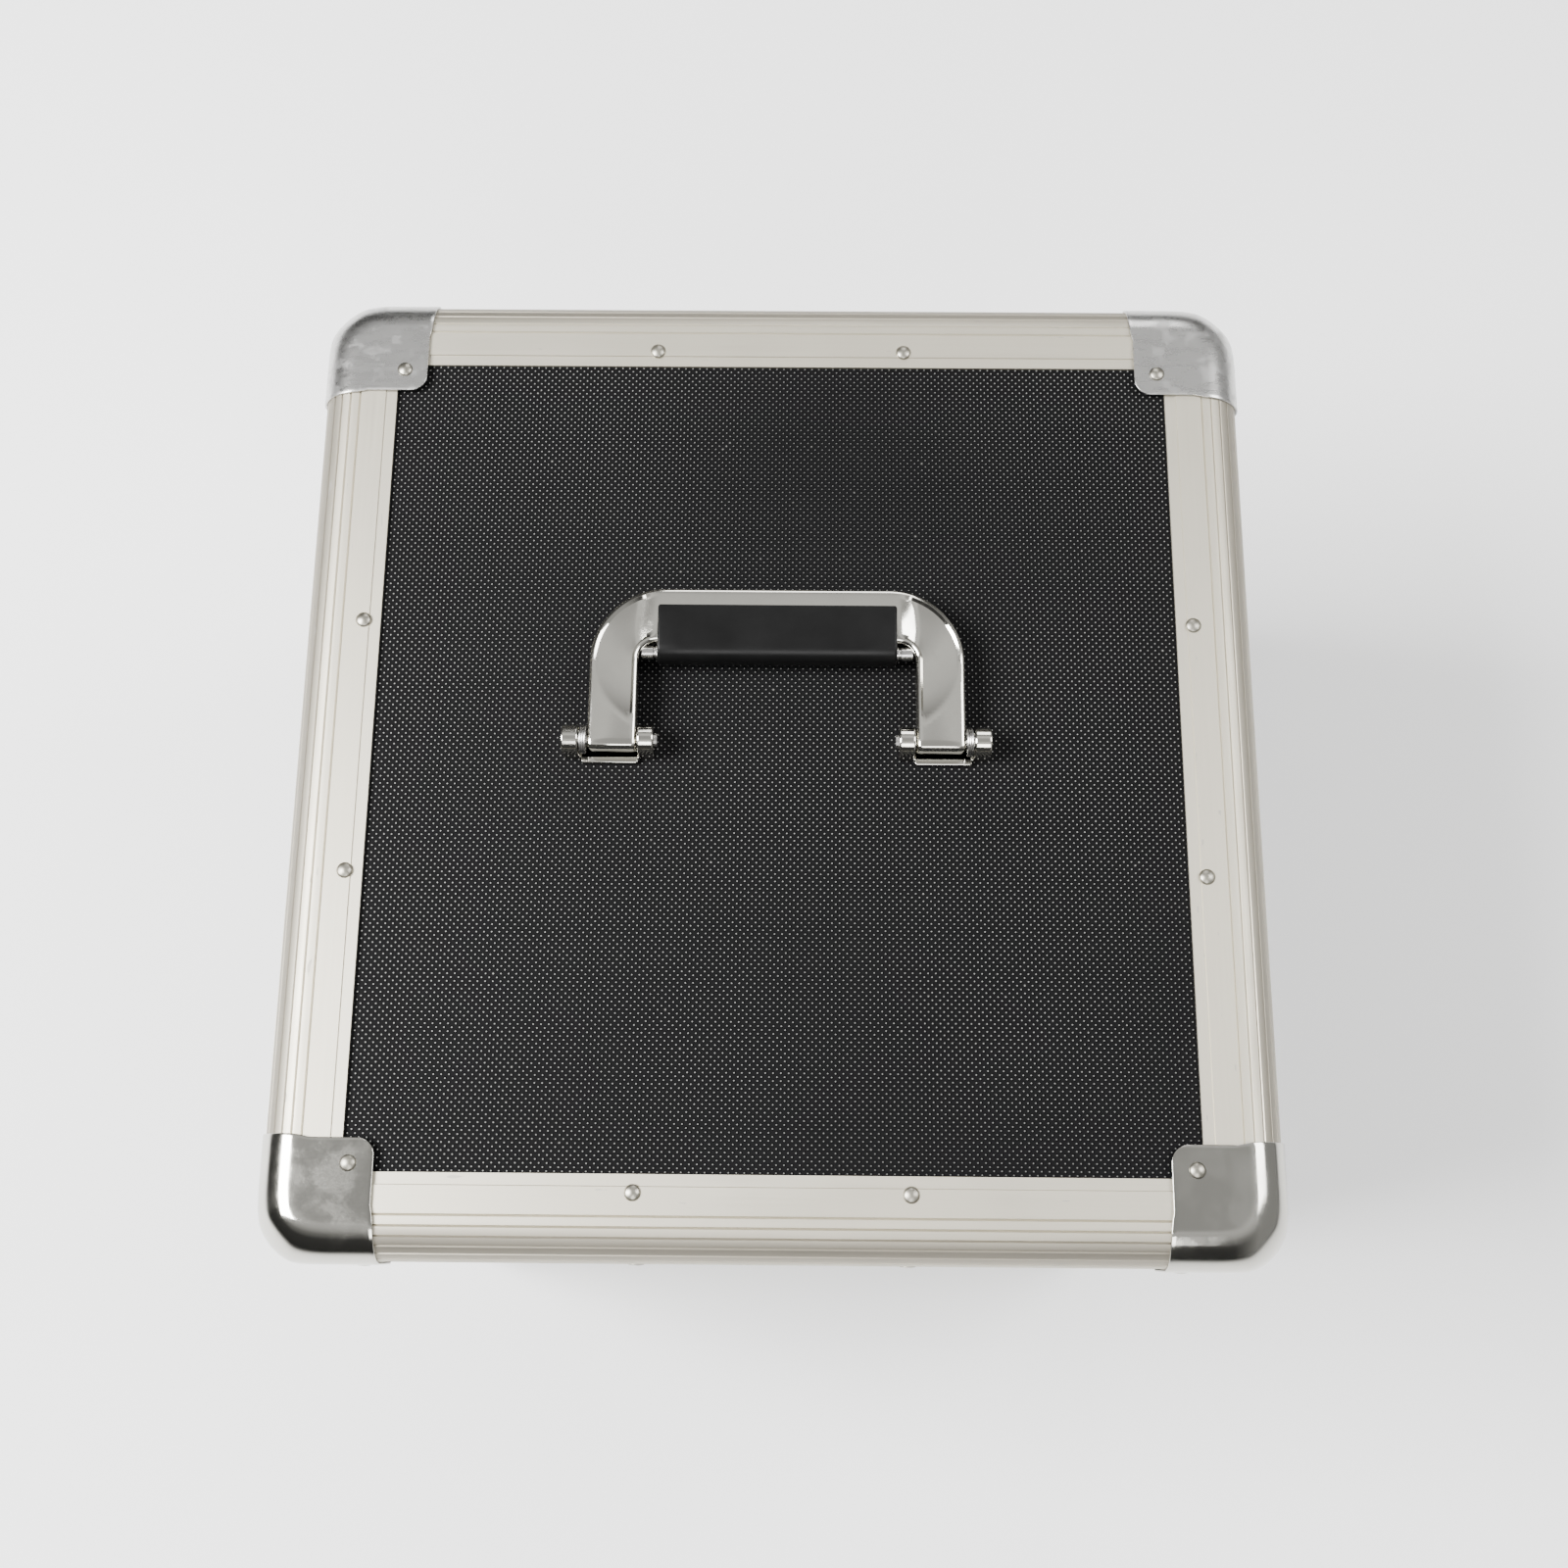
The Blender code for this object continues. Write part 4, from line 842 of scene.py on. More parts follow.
@dataclass(frozen=True)
class BallCorner:
    """A pressed steel cap: a trimmed corner, three rounded legs and three flat petals, all one sheet."""

    leg_radius: float = 15.6 * MM
    heart: float = 28.9 * MM
    trim: float = 35.3 * MM
    softness: float = 3.2 * MM
    leg: float = 44.2 * MM
    notch: float = 6.5 * MM
    flare: float = 1.3 * MM
    sheet: float = 0.9 * MM
    around: int = 22
    rows: int = 12

    def reach(self, way: np.ndarray) -> np.ndarray:
        """How far the surface lies from the heart along some directions.

        The box with rounded edges gives one distance, found by halving an interval, and the trimming ball
        another. The result is the smaller one, less softness / 4 times the square of
        1 - |difference| / softness near 0.

        Args:
            way: unit directions away from the heart, with no negative part; a zero part means a plane section.

        Returns:
            The distances.
        """
        core = self.heart - self.leg_radius
        low, high = np.zeros(way.shape[:-1]), np.full(way.shape[:-1], 2 * self.heart)
        for _ in range(40):
            middle = (low + high) / 2
            beyond = np.maximum(way * middle[..., None] - core, 0)
            outside = np.linalg.norm(beyond, axis=-1) > self.leg_radius
            low, high = np.where(outside, low, middle), np.where(outside, middle, high)
        near = np.maximum(1 - np.abs(low - self.trim) / self.softness, 0)
        return np.minimum(low, self.trim) - near ** 2 * self.softness / 4

    def corner_patch(self) -> np.ndarray:
        """A third of the corner: directions that lean most to the first axis, as a square grid."""
        share = np.tan(np.linspace(0, QUARTER / 2, self.around + 1))
        first, second = np.meshgrid(share, share, indexing="ij")
        way = np.stack([np.ones_like(first), first, second], axis=-1)
        way /= np.linalg.norm(way, axis=-1, keepdims=True)
        return self.heart - way * self.reach(way)[..., None]

    def leg_patch(self) -> np.ndarray:
        """A leg with its two flat sides: the heart's section carried outwards, flared at the open end."""
        travel = np.linspace(self.heart, self.leg, self.rows + 1)[:, None]
        half = np.linspace(0, QUARTER / 2, self.around + 1)
        turn = np.concatenate([half, QUARTER - half[-2::-1]])[None, :]
        way = np.stack(np.broadcast_arrays(0 * turn, np.cos(turn), np.sin(turn)), axis=-1)
        inset = np.repeat(self.heart - way * self.reach(way)[..., None], len(travel), axis=0)
        share = (travel - self.heart) / (self.leg - self.heart)
        edge = np.clip((np.sin(2 * turn) - 0.55) / 0.45, 0, 1)
        inset[..., 0] = travel + self.flare * share ** 4 * edge * (2 - edge)
        return inset

    def petal(self) -> np.ndarray:
        """A flat petal beyond the heart: a square grid whose far corner is rounded.

        Its two far sides share the outline, half each by length, and the grid between is a Coons patch.
        """
        notch_at = self.leg - self.notch
        share = np.linspace(0, 1, self.rows + 1)
        bend = arc((notch_at, notch_at), self.notch, 0, QUARTER / 2, 6)
        outline = np.concatenate([[(self.leg, self.heart)], bend])
        travel = np.concatenate([[0.0], np.cumsum(np.linalg.norm(np.diff(outline, axis=0), axis=1))])
        side = np.stack([np.interp(share * travel[-1], travel, outline[:, k]) for k in (0, 1)], axis=-1)
        side[0], side[-1] = outline[0], outline[-1]
        near = np.stack([np.full_like(share, self.heart), self.heart + (self.leg - self.heart) * share], axis=-1)
        u, v = share[:, None, None], share[None, :, None]
        ruled = (1 - u) * near[None] + u * side[None] + (1 - v) * near[:, None, ::-1] + v * side[:, None, ::-1]
        corners = ((1 - u) * (1 - v) * near[0] + (1 - u) * v * near[-1] + u * (1 - v) * near[-1, ::-1]
                   + u * v * side[-1])
        return np.concatenate([ruled - corners, np.zeros((*share.shape * 2, 1))], axis=-1)

    def build(self, half: Half, finishes: Finishes) -> None:
        """Makes a half's four caps. The cap is alike along its three legs, so a mirrored one is the same part."""
        patches = (self.corner_patch(), self.leg_patch(), self.petal())
        for depth, y in (("front", -1.0), ("back", 1.0)):
            for width, x in (("left", -1.0), ("right", 1.0)):
                node = f"{half.body}_corner_{depth}_{width}"
                signs = np.array([x, y, half.outward])
                low, high = (np.array(corner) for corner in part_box(node))
                outermost = np.where(signs > 0, high, low)
                surface = Surface()
                for patch in patches:
                    for shift in range(3):
                        surface.grid(outermost - signs * np.roll(patch, shift, axis=-1))
                # Painted reflection: the back caps are the same part as the front ones, but get a paler, rougher
                # steel copy for how they reflect the room.
                bright = depth == "front"
                piece = surface.piece(f"fine_{node}", finishes.corner if bright else finishes.satin_corner,
                                      facing=signs, smooth_below=50.0)
                thicken(piece, self.sheet)
                ease_edges(piece, 0.22 * MM)
                adopt(piece, half.body, "chrome", node)


@dataclass(frozen=True)
class Rivets:
    """Domed rivet heads on the extrusions, rims, ball corners and hinge leaves."""

    radius: float = 3.0 * MM
    height: float = 1.3 * MM
    wall_height: float = 0.7 * MM
    brim: float = 0.3 * MM
    steps: int = 14
    inset: float = 24.6 * MM
    spacing: float = 99.0 * MM
    cap_inset: float = 34.0 * MM
    cap_proud: float = 1.2 * MM
    rim_height: float = 11.0 * MM
    hinge_face: float = 1.8 * MM
    hinge_rivets: int = 4
    hinge_width: float = 286.0 * MM

    def profile(self, height: float) -> np.ndarray:
        """A head: a short brim and a dome whose height falls with the square of the radius."""
        radius = np.linspace(1, 0, 5) * self.radius
        dome = self.brim + (height - self.brim) * (1 - (radius / self.radius) ** 2)
        return np.concatenate([[(0, -GAP), (self.radius, -GAP)], np.stack([radius, dome], axis=-1)])

    def seats(self, half: Half, place: Place) -> list[tuple[Triple, Triple]]:
        """Every head's place and the way that it looks."""
        z, out = place.face(half), half.outward
        flange_z, cap_z = z - out * self.inset, z - out * self.cap_inset
        rim_z = place.split + out * self.rim_height
        spread = self.spacing / 2
        found = []
        for sign in (-1.0, 1.0):
            side_x, side_y = place.right * sign, place.middle_y + place.half_depth * sign
            for shift in (-spread, spread):
                found += [((shift, side_y - sign * self.inset, z), (0, 0, out)),
                          ((side_x - sign * self.inset, place.middle_y + shift, z), (0, 0, out)),
                          ((shift, side_y, flange_z), (0, sign, 0)),
                          ((side_x, place.middle_y + shift, flange_z), (sign, 0, 0)),
                          ((side_x, place.middle_y + 2 * shift, rim_z), (sign, 0, 0))]
            found.append(((sign * 20 * MM, place.front, rim_z), (0, -1, 0)))
            for other in (-1.0, 1.0):
                other_y = place.middle_y + place.half_depth * other
                cap_x, cap_y = side_x - sign * self.cap_inset, other_y - other * self.cap_inset
                found += [((cap_x, cap_y, z + out * self.cap_proud), (0, 0, out)),
                          ((cap_x, other_y + other * self.cap_proud, cap_z), (0, other, 0)),
                          ((side_x + sign * self.cap_proud, cap_y, cap_z), (sign, 0, 0))]
                for height in self.upright_heights(half, place):
                    found += [((side_x - sign * self.inset, other_y, height), (0, other, 0)),
                              ((side_x, other_y - other * self.inset, height), (sign, 0, 0))]
        for share in (np.arange(self.hinge_rivets) + 0.5) / self.hinge_rivets - 0.5:
            found.append(((share * self.hinge_width, place.back + self.hinge_face, rim_z), (0, 1, 0)))
        return found

    @staticmethod
    def upright_heights(half: Half, place: Place) -> list[float]:
        """The rivets' heights on a half's uprights: one in the lid, two in the base."""
        if half is Half.LID:
            return [place.split + 36.0 * MM]
        span = place.split - place.bottom
        return [place.bottom + span * share for share in (0.38, 0.72)]

    def build(self, half: Half, place: Place, finishes: Finishes) -> None:
        """All of a half's heads as one piece."""
        surface = Surface()
        for seat, way in self.seats(half, place):
            profile = self.profile(self.height if way[2] else self.wall_height)
            surface.grid(turned(profile, seat, way, self.steps), around=True)
        heads = surface.piece(f"{half.body}_rivets", finishes.rivet, smooth_below=60.0)
        adopt(heads, half.body, "nickel_steel")


# The handle


@dataclass(frozen=True)
class Handle:
    """The sprung handle: cast frame, rubber grip, two brackets, their springs and collars."""

    half_width: float = 70.9 * MM
    arm_inner: float = 52.4 * MM
    reach: float = 59.2 * MM
    heel: float = 4.2 * MM
    thickness: float = 9.0 * MM
    elbow: float = 28.5 * MM
    fillet: float = 6.6 * MM
    bar_width: float = 21.2 * MM
    edge: float = 1.7 * MM
    scoop: float = 2.0 * MM
    crown: float = 0.35 * MM
    grip_half: float = 45.4 * MM
    grip_front: float = 30.4 * MM
    grip_back: float = 51.8 * MM
    grip_half_height: float = 6.8 * MM
    grip_round: float = 5.5 * MM
    lug_radius: float = 5.5 * MM
    inner_lug: tuple[float, float] = (46.0 * MM, 52.1 * MM)
    outer_lug: tuple[float, float] = (74.2 * MM, 80.5 * MM)
    pivot_height: float = 8.5 * MM
    plate: float = 2.0 * MM
    tab_half: float = 10.7 * MM
    tab_front: float = 7.3 * MM
    collar_y: float = 34.6 * MM
    collar_radius: float = 2.6 * MM

    def sides(self) -> tuple[np.ndarray, np.ndarray]:
        """The frame's outer and inner lines, point for point, from the right heel to the left."""
        elbow_at = (self.half_width - self.elbow, self.reach - self.elbow)
        fillet_at = (self.arm_inner - self.fillet, self.reach - self.bar_width - self.fillet)
        ease = self.edge * (1 - np.cos(np.linspace(0, QUARTER, 6)))[1:-1] / self.elbow
        down = np.concatenate([[0.0], ease, np.linspace(0.1, 1, 22)[:-1]])[:, None]
        outer_arm = np.array([self.half_width, -self.heel]) + down * (0, elbow_at[1] + self.heel)
        inner_arm = np.array([self.arm_inner, -self.heel]) + down * (0, fillet_at[1] + self.heel)
        outer_bend = arc(elbow_at, self.elbow, 0, QUARTER, 36)
        inner_bend = arc(fillet_at, self.fillet, 0, QUARTER, 36)
        inward = np.linspace(0, 1, 9)[1:, None]
        outer_bar = outer_bend[-1] * (1 - inward) + np.array([0.0, self.reach]) * inward
        inner_bar = inner_bend[-1] * (1 - inward) + np.array([0.0, self.reach - self.bar_width]) * inward
        outer = np.concatenate([outer_arm, outer_bend, outer_bar])
        inner = np.concatenate([inner_arm, inner_bend, inner_bar])
        mirror = np.array([-1.0, 1.0])
        return np.concatenate([outer, outer[-2::-1] * mirror]), np.concatenate([inner, inner[-2::-1] * mirror])

    def frame_sections(self) -> np.ndarray:
        """Rounded rectangles between the two lines, drawn in at the heels, with a facet scooped from each elbow.

        The facet sinks with the distance beyond a circle that crosses the arm aslant, as a smoothstep.
        """
        outer, inner = self.sides()
        span = outer - inner
        half = np.linalg.norm(span, axis=1) / 2
        across = span / (2 * half[:, None])
        middle = (outer + inner) / 2
        from_heel = np.minimum(np.abs(middle[:, 1] + self.heel), self.edge)
        at_arm = np.abs(middle[:, 0]) > self.arm_inner
        draw = np.where(at_arm, self.edge - np.sqrt(self.edge ** 2 - (self.edge - from_heel) ** 2), 0.0)
        quarter = np.linspace(0, QUARTER, 5)
        angle = (np.arange(4)[:, None] * QUARTER + quarter).ravel()
        side_x, side_z = np.repeat([1, -1, -1, 1], 5), np.repeat([1, 1, -1, -1], 5)
        x = (half[:, None] - self.edge - draw[:, None]) * side_x + self.edge * np.cos(angle)
        z = (self.thickness / 2 - self.edge - draw[:, None]) * side_z + self.edge * np.sin(angle)
        flat_x = (half[:, None] - self.edge - draw[:, None]) * np.linspace(1, -1, 17)[1:-1]
        plan = middle[:, None] + across[:, None] * flat_x[..., None]
        centre = np.array([self.arm_inner - 2.0 * self.fillet, self.reach * 0.56])
        away = np.hypot(np.abs(plan[..., 0]) - centre[0], plan[..., 1] - centre[1])
        inside = np.clip((31.0 * MM - away) / (14.0 * MM), 0, 1)
        bar = np.clip((np.abs(plan[..., 0]) - self.grip_half) / (9.0 * MM), 0, 1)
        swell = self.crown * (1 - np.linspace(1, -1, 17)[1:-1] ** 2)
        dip = self.scoop * inside * (2 - inside) * bar * bar * (3 - 2 * bar)
        flat_z = self.thickness / 2 - draw[:, None] + swell - dip
        section_x = np.concatenate([x[:, :5], flat_x, x[:, 5:]], axis=1)
        section_z = np.concatenate([z[:, :5], flat_z, z[:, 5:]], axis=1)
        plan = middle[:, None] + across[:, None] * section_x[..., None]
        return np.concatenate([plan, section_z[..., None]], axis=-1)

    def grip_sections(self) -> np.ndarray:
        """The grip along x: a D that is round in front, drawn in at both ends by a quarter-circle edge."""
        height, turn = self.grip_half_height, np.linspace(0, QUARTER, 6)
        front = self.grip_front + self.grip_round
        low = arc((front, self.grip_round - height), self.grip_round, 3 * QUARTER, 2 * QUARTER, 8)
        high = arc((front, height - self.grip_round), self.grip_round, 2 * QUARTER, QUARTER, 8)
        tight = 0.6 * MM
        back = np.concatenate([arc((self.grip_back - tight, height - tight), tight, QUARTER, 0, 3),
                               arc((self.grip_back - tight, tight - height), tight, 0, -QUARTER, 3)])
        section = np.concatenate([low, high, back])
        ease = 1.0 * MM
        ends = self.grip_half - ease + ease * np.sin(turn)
        draw = ease * (1 - np.cos(turn))
        x = np.concatenate([-ends[::-1], np.linspace(-1, 1, 11)[1:-1] * (self.grip_half - ease), ends])
        inset = np.concatenate([draw[::-1], np.zeros(9), draw])[:, None, None]
        centre = np.array([(self.grip_front + self.grip_back) / 2, 0.0])
        reach = np.array([(self.grip_back - self.grip_front) / 2, height])
        plan = centre + (section - centre) * (1 - inset / reach)
        return np.stack(np.broadcast_arrays(x[:, None], plan[..., 0], plan[..., 1]), axis=-1)

    def bracket(self, sign: float) -> Surface:
        """One bracket: two chamfered lugs on pillars, and a plate with a rounded tab under the arm."""
        low = GAP - self.pivot_height
        surface = Surface()
        for start, end in (self.inner_lug, self.outer_lug):
            chamfer = 0.4 * MM
            profile = [(0, start), (self.lug_radius - chamfer, start), (self.lug_radius, start + chamfer),
                       (self.lug_radius, end - chamfer), (self.lug_radius - chamfer, end), (0, end)]
            surface.grid(turned(profile, (0, 0, 0), (sign, 0, 0), 40), around=True)
            pillar = rounded((end - start) / 2 - 0.1 * MM, self.lug_radius - 0.05 * MM, 0.5 * MM, 3)
            levels = np.array([(sign * (start + end) / 2, 0, height) for height in (low, 0.0)])
            surface.bar(laid(pillar, levels, Axis.X.vector, Axis.Y.vector))
        middle = sign * (self.inner_lug[0] + self.outer_lug[1]) / 2
        tab_middle = sign * (self.inner_lug[1] + self.outer_lug[0]) / 2
        half = (self.outer_lug[1] - self.inner_lug[0]) / 2 - 0.2 * MM
        tab = rounded(self.tab_half, self.tab_front / 2, 0.8 * MM, 4)
        for section, centre in ((rounded(half, self.lug_radius - 0.1 * MM, 0.8 * MM, 4), (middle, 0.0)),
                                (tab, (tab_middle, -self.tab_front / 2))):
            levels = np.array([(*centre, height) for height in (low, low + self.plate)])
            surface.bar(laid(section, levels, Axis.X.vector, Axis.Y.vector))
        return surface

    def spring(self, sign: float, turns: float = 2.6, wire: float = 0.42 * MM,
               coil: float = 5.1 * MM) -> np.ndarray:
        """A torsion spring round the pin: a round wire carried along a helix."""
        room = (self.half_width, self.outer_lug[0])
        spread = room[1] - room[0] - 2 * wire - 0.3 * MM
        share = np.linspace(0, 1, int(turns * 28) + 1)
        angle = share * turns * 2 * math.pi + 0.5
        outward = np.stack([np.zeros_like(angle), np.cos(angle), np.sin(angle)], axis=-1)
        along = sign * (sum(room) / 2 + spread * (share - 0.5))
        centre = outward * coil + np.stack([along, 0 * along, 0 * along], axis=-1)
        loop = arc((0, 0), wire, 0, 2 * math.pi, 8)[:-1]
        return laid(loop, centre, outward, Axis.X.vector)

    def build(self, finishes: Finishes) -> None:
        """Makes every piece of the handle at its pivot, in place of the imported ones."""
        low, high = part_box("handle_pin_left")
        pivot = np.array([0.0, (low.y + high.y) / 2, (low.z + high.z) / 2])
        frame = Surface().bar(self.frame_sections() + pivot).piece("fine_handle_frame", finishes.chrome)
        adopt(frame, "handle", "chrome", "handle_frame")
        grip = Surface().bar(self.grip_sections() + pivot).piece("fine_handle_grip", finishes.grip)
        adopt(grip, "handle", "black_rubber", "handle_grip")
        for side, sign in (("left", -1.0), ("right", 1.0)):
            surface = self.bracket(sign)
            surface.points = [points + pivot for points in surface.points]
            piece = surface.piece(f"fine_handle_bracket_{side}", finishes.chrome)
            ease_edges(piece, 0.25 * MM)
            adopt(piece, "lid", "chrome", f"handle_bracket_{side}")
            spring = Surface().bar(self.spring(sign) + pivot).piece(f"handle_spring_{side}", finishes.steel)
            adopt(spring, "lid", "nickel_steel")
            reach = self.arm_inner - self.grip_half - 1.0 * MM
            radius = self.collar_radius
            profile = [(0, -0.5 * MM), (radius, -0.5 * MM), (radius, 0.7 * MM), (radius - 0.5 * MM, 0.9 * MM),
                       (radius - 0.5 * MM, 1.6 * MM), (radius, 1.8 * MM), (radius, reach), (0, reach)]
            start = pivot + np.array([sign * self.grip_half, self.collar_y, 0.0])
            collar = Surface().grid(turned(profile, start, (sign, 0, 0), 28), around=True)
            adopt(collar.piece(f"handle_collar_{side}", finishes.steel), "handle", "nickel_steel")


@dataclass(frozen=True)
class Dish:
    """A pressed latch dish, open at the split: flange, rounded lip, drafted walls and a flat floor."""

    half_width: float = 45.0 * MM
    flange: float = 8.0 * MM
    flange_front: float = 0.5 * MM
    lip: float = 1.1 * MM
    draft: float = 2.0 * MM
    depth: float = 7.6 * MM
    heel: float = 1.8 * MM
    corner: float = 8.0 * MM
    sheet: float = 1.0 * MM

    def profile(self) -> np.ndarray:
        """Spread and depth from the flange's edge to the floor: two quarter ellipses with a slope between."""
        turn = np.linspace(0, QUARTER, 6)
        slope = (self.depth - self.flange_front - self.lip - self.heel) / (self.depth - self.flange_front)
        top = np.stack([-0.12 * self.lip + self.lip * (1 - np.sin(turn)),
                        self.flange_front + self.lip * (1 - np.cos(turn))], axis=-1)
        start = top[-1, 0] - self.draft * slope
        low = np.stack([start - self.heel * 0.6 * (1 - np.cos(turn)),
                        self.depth - self.heel * (1 - np.sin(turn))], axis=-1)
        return np.concatenate([[(self.flange, self.flange_front)], top, low, [(low[-1, 0] - 2.0 * MM, self.depth)]])

    def row(self, spread: float, height: float) -> np.ndarray:
        """The outline at one spread: from the split down a side, round two corners and up the other side."""
        radius = max(self.corner + spread, 0.6 * MM)
        half, low = self.half_width + spread, height + spread
        corner = arc((half - radius, low - radius), radius, 0, QUARTER, 10)
        right = np.concatenate([[(half, GAP / 2)], corner])
        return np.concatenate([right, right[::-1] * (-1, 1)])

    def build(self, name: str, seat: np.ndarray, down: float, height: float,
              material: bpy.types.Material, body: str) -> None:
        """Makes one dish; its heights run down or up from the seat, which is on the front face at the split."""
        rows = []
        for spread, depth in self.profile():
            outline = self.row(spread, height)
            rows.append(np.stack([outline[:, 0], np.full(len(outline), depth), outline[:, 1] * down], axis=-1))
        surface = Surface().grid(np.array(rows) + seat).cap(rows[-1] + seat)
        piece = surface.piece(f"fine_{name}", material, facing=(0, -1, 0), smooth_below=50.0)
        thicken(piece, self.sheet)
        adopt(piece, body, "nickel_steel", name)


@dataclass(frozen=True)
class TwistLatch:
    """One recessed latch: base dish, keeper dish with its peg, the turning cam and the folding wing."""

    sign: float
    drop: float = 24.0 * MM
    base_height: float = 48.0 * MM
    lid_height: float = 22.0 * MM
    disc_radius: float = 19.0 * MM
    disc_depth: tuple[float, float] = (3.4 * MM, 4.6 * MM)
    spindle: float = 4.0 * MM
    spindle_end: float = 10.1 * MM
    collar: tuple[float, float] = (6.0 * MM, 8.9 * MM)
    hook_depth: tuple[float, float] = (5.2 * MM, 6.8 * MM)
    hook_inner: float = 36.9 * MM
    hook_outer: float = 41.1 * MM
    lead_in: float = 0.9 * MM
    hub: float = 9.0 * MM
    stem: tuple[float, float] = (-22.0, -8.0)
    tip: float = 25.0
    wing_depth: float = 1.7 * MM
    wing_radius: float = 17.0 * MM
    wing_sheet: float = 1.4 * MM
    knuckle: tuple[float, float] = (1.3 * MM, 11.0 * MM)
    shoulder: float = 2.7 * MM
    eye: tuple[float, float] = (4.0 * MM, 9.5 * MM)
    ear: tuple[float, float] = (11.3 * MM, 13.5 * MM)
    ear_half_height: float = 2.0 * MM
    peg: tuple[float, float, float] = (3.5 * MM, 9.0 * MM, 3.6 * MM)

    @property
    def side(self) -> str:
        """The latch's side, as its nodes are named."""
        return "left" if self.sign < 0 else "right"

    def spindle_at(self) -> np.ndarray:
        """The spindle's axis at the case's front face, from the cam's packed disc."""
        low, high = (np.array(corner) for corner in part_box(f"latch_wing_{self.side}"))
        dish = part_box(f"latch_dish_{self.side}")
        return np.array([(low[0] + high[0]) / 2, dish[0].y - 0.5 * MM, dish[1].z + GAP / 2 - self.drop])

    def hook(self) -> np.ndarray:
        """The hook's outline: the finger's outer arc out, its inner arc back with a lead-in, and round the hub."""
        start, stem_to = (math.radians(angle) for angle in self.stem)
        tip = math.radians(self.tip)
        outer = arc((0, 0), self.hook_outer, start, tip, 16)
        turn = np.linspace(tip, stem_to, 13)
        radius = self.hook_inner + self.lead_in * np.linspace(1, 0, 13)
        inner = np.stack([radius * np.cos(turn), radius * np.sin(turn)], axis=-1)
        half_stem = self.hook_outer * math.sin((stem_to - start) / 2)
        middle, opening = (stem_to + start) / 2, math.asin(half_stem / self.hub)
        round_hub = arc((0, 0), self.hub, middle + opening, middle - opening + 4 * QUARTER, 30)
        return np.concatenate([outer, inner, round_hub]) * (-self.sign, 1)

    def cam(self) -> Surface:
        """The cam about its spindle: a turned disc with a raised rim, the hook plate and the wing's two ears."""
        front, back = self.disc_depth
        radius, edge = self.disc_radius, 0.4 * MM
        collar_radius, collar_from = self.collar
        profile = [(0, front), (radius - 2.2 * MM, front), (radius - 1.8 * MM, front - 0.35 * MM),
                   (radius - 0.7 * MM, front - 0.35 * MM), (radius - 0.1 * MM, front), (radius, front + edge),
                   (radius, back - edge), (radius - edge, back), (self.spindle, back), (self.spindle, collar_from),
                   (collar_radius, collar_from), (collar_radius, self.spindle_end - edge),
                   (collar_radius - edge, self.spindle_end), (0, self.spindle_end)]
        surface = Surface().grid(turned(profile, (0, 0, 0), Axis.Y.vector, 56), around=True)
        outline = self.hook()
        levels = np.array([(0, depth, 0) for depth in self.hook_depth])
        surface.bar(laid(outline, levels, Axis.X.vector, Axis.Z.vector))
        ear_from, ear_to = self.ear
        section = rounded((back - 0.6 * MM - (self.wing_depth - self.knuckle[0])) / 2, self.ear_half_height,
                          1.2 * MM, 5)
        middle = (back - 0.6 * MM + self.wing_depth - self.knuckle[0]) / 2
        for side in (-1, 1):
            levels = np.array([(side * start, middle, 0) for start in (ear_from, ear_to)])
            surface.bar(laid(section, levels, Axis.Y.vector, Axis.Z.vector))
        return surface

    def wing(self) -> Surface:
        """The wing about its axis: a half-round leaf pierced by an eye, a web and a knuckle.

        The leaf is a ring of sections round the eye; its outer point lies where the ray leaves the half disc.
        """
        eye_radius, eye_drop = self.eye
        turn = np.linspace(0, 4 * QUARTER, 72, endpoint=False)
        way = np.stack([np.cos(turn), np.sin(turn)], axis=-1)
        eye = np.array([0.0, -eye_drop])
        along = way @ eye
        to_circle = -along + np.sqrt(along ** 2 + self.wing_radius ** 2 - eye_drop ** 2)
        to_chord = np.where(way[:, 1] > 1e-6, (eye_drop - self.shoulder) / np.maximum(way[:, 1], 1e-6), np.inf)
        outer = eye + way * np.minimum(to_circle, to_chord)[:, None]
        inner = eye + way * eye_radius
        half, edge = self.wing_sheet / 2, 0.35 * MM
        front = [(inner, half - edge), (inner + way * edge, half), (outer - way * edge, half), (outer, half - edge)]
        back = [(plan, -depth) for plan, depth in reversed(front)]
        sections = [np.stack([plan[:, 0], np.full(len(plan), depth), plan[:, 1]], axis=-1)
                    for plan, depth in front + back]
        surface = Surface().grid(np.array(sections), around=True, along=True)
        radius, half_length = self.knuckle
        web = rounded(half - 0.05 * MM, (self.shoulder + 0.3 * MM) / 2, 0.3 * MM, 3)
        levels = np.array([(end, 0, -(self.shoulder + 0.3 * MM) / 2) for end in (0.5 * MM - half_length,
                                                                            half_length - 0.5 * MM)])
        surface.bar(laid(web, levels, Axis.Y.vector, Axis.Z.vector))
        ease = 0.3 * MM
        profile = [(0, -half_length), (radius - ease, -half_length), (radius, ease - half_length),
                   (radius, half_length - ease), (radius - ease, half_length), (0, half_length)]
        return surface.grid(turned(profile, (0, 0, 0), Axis.X.vector, 28), around=True)

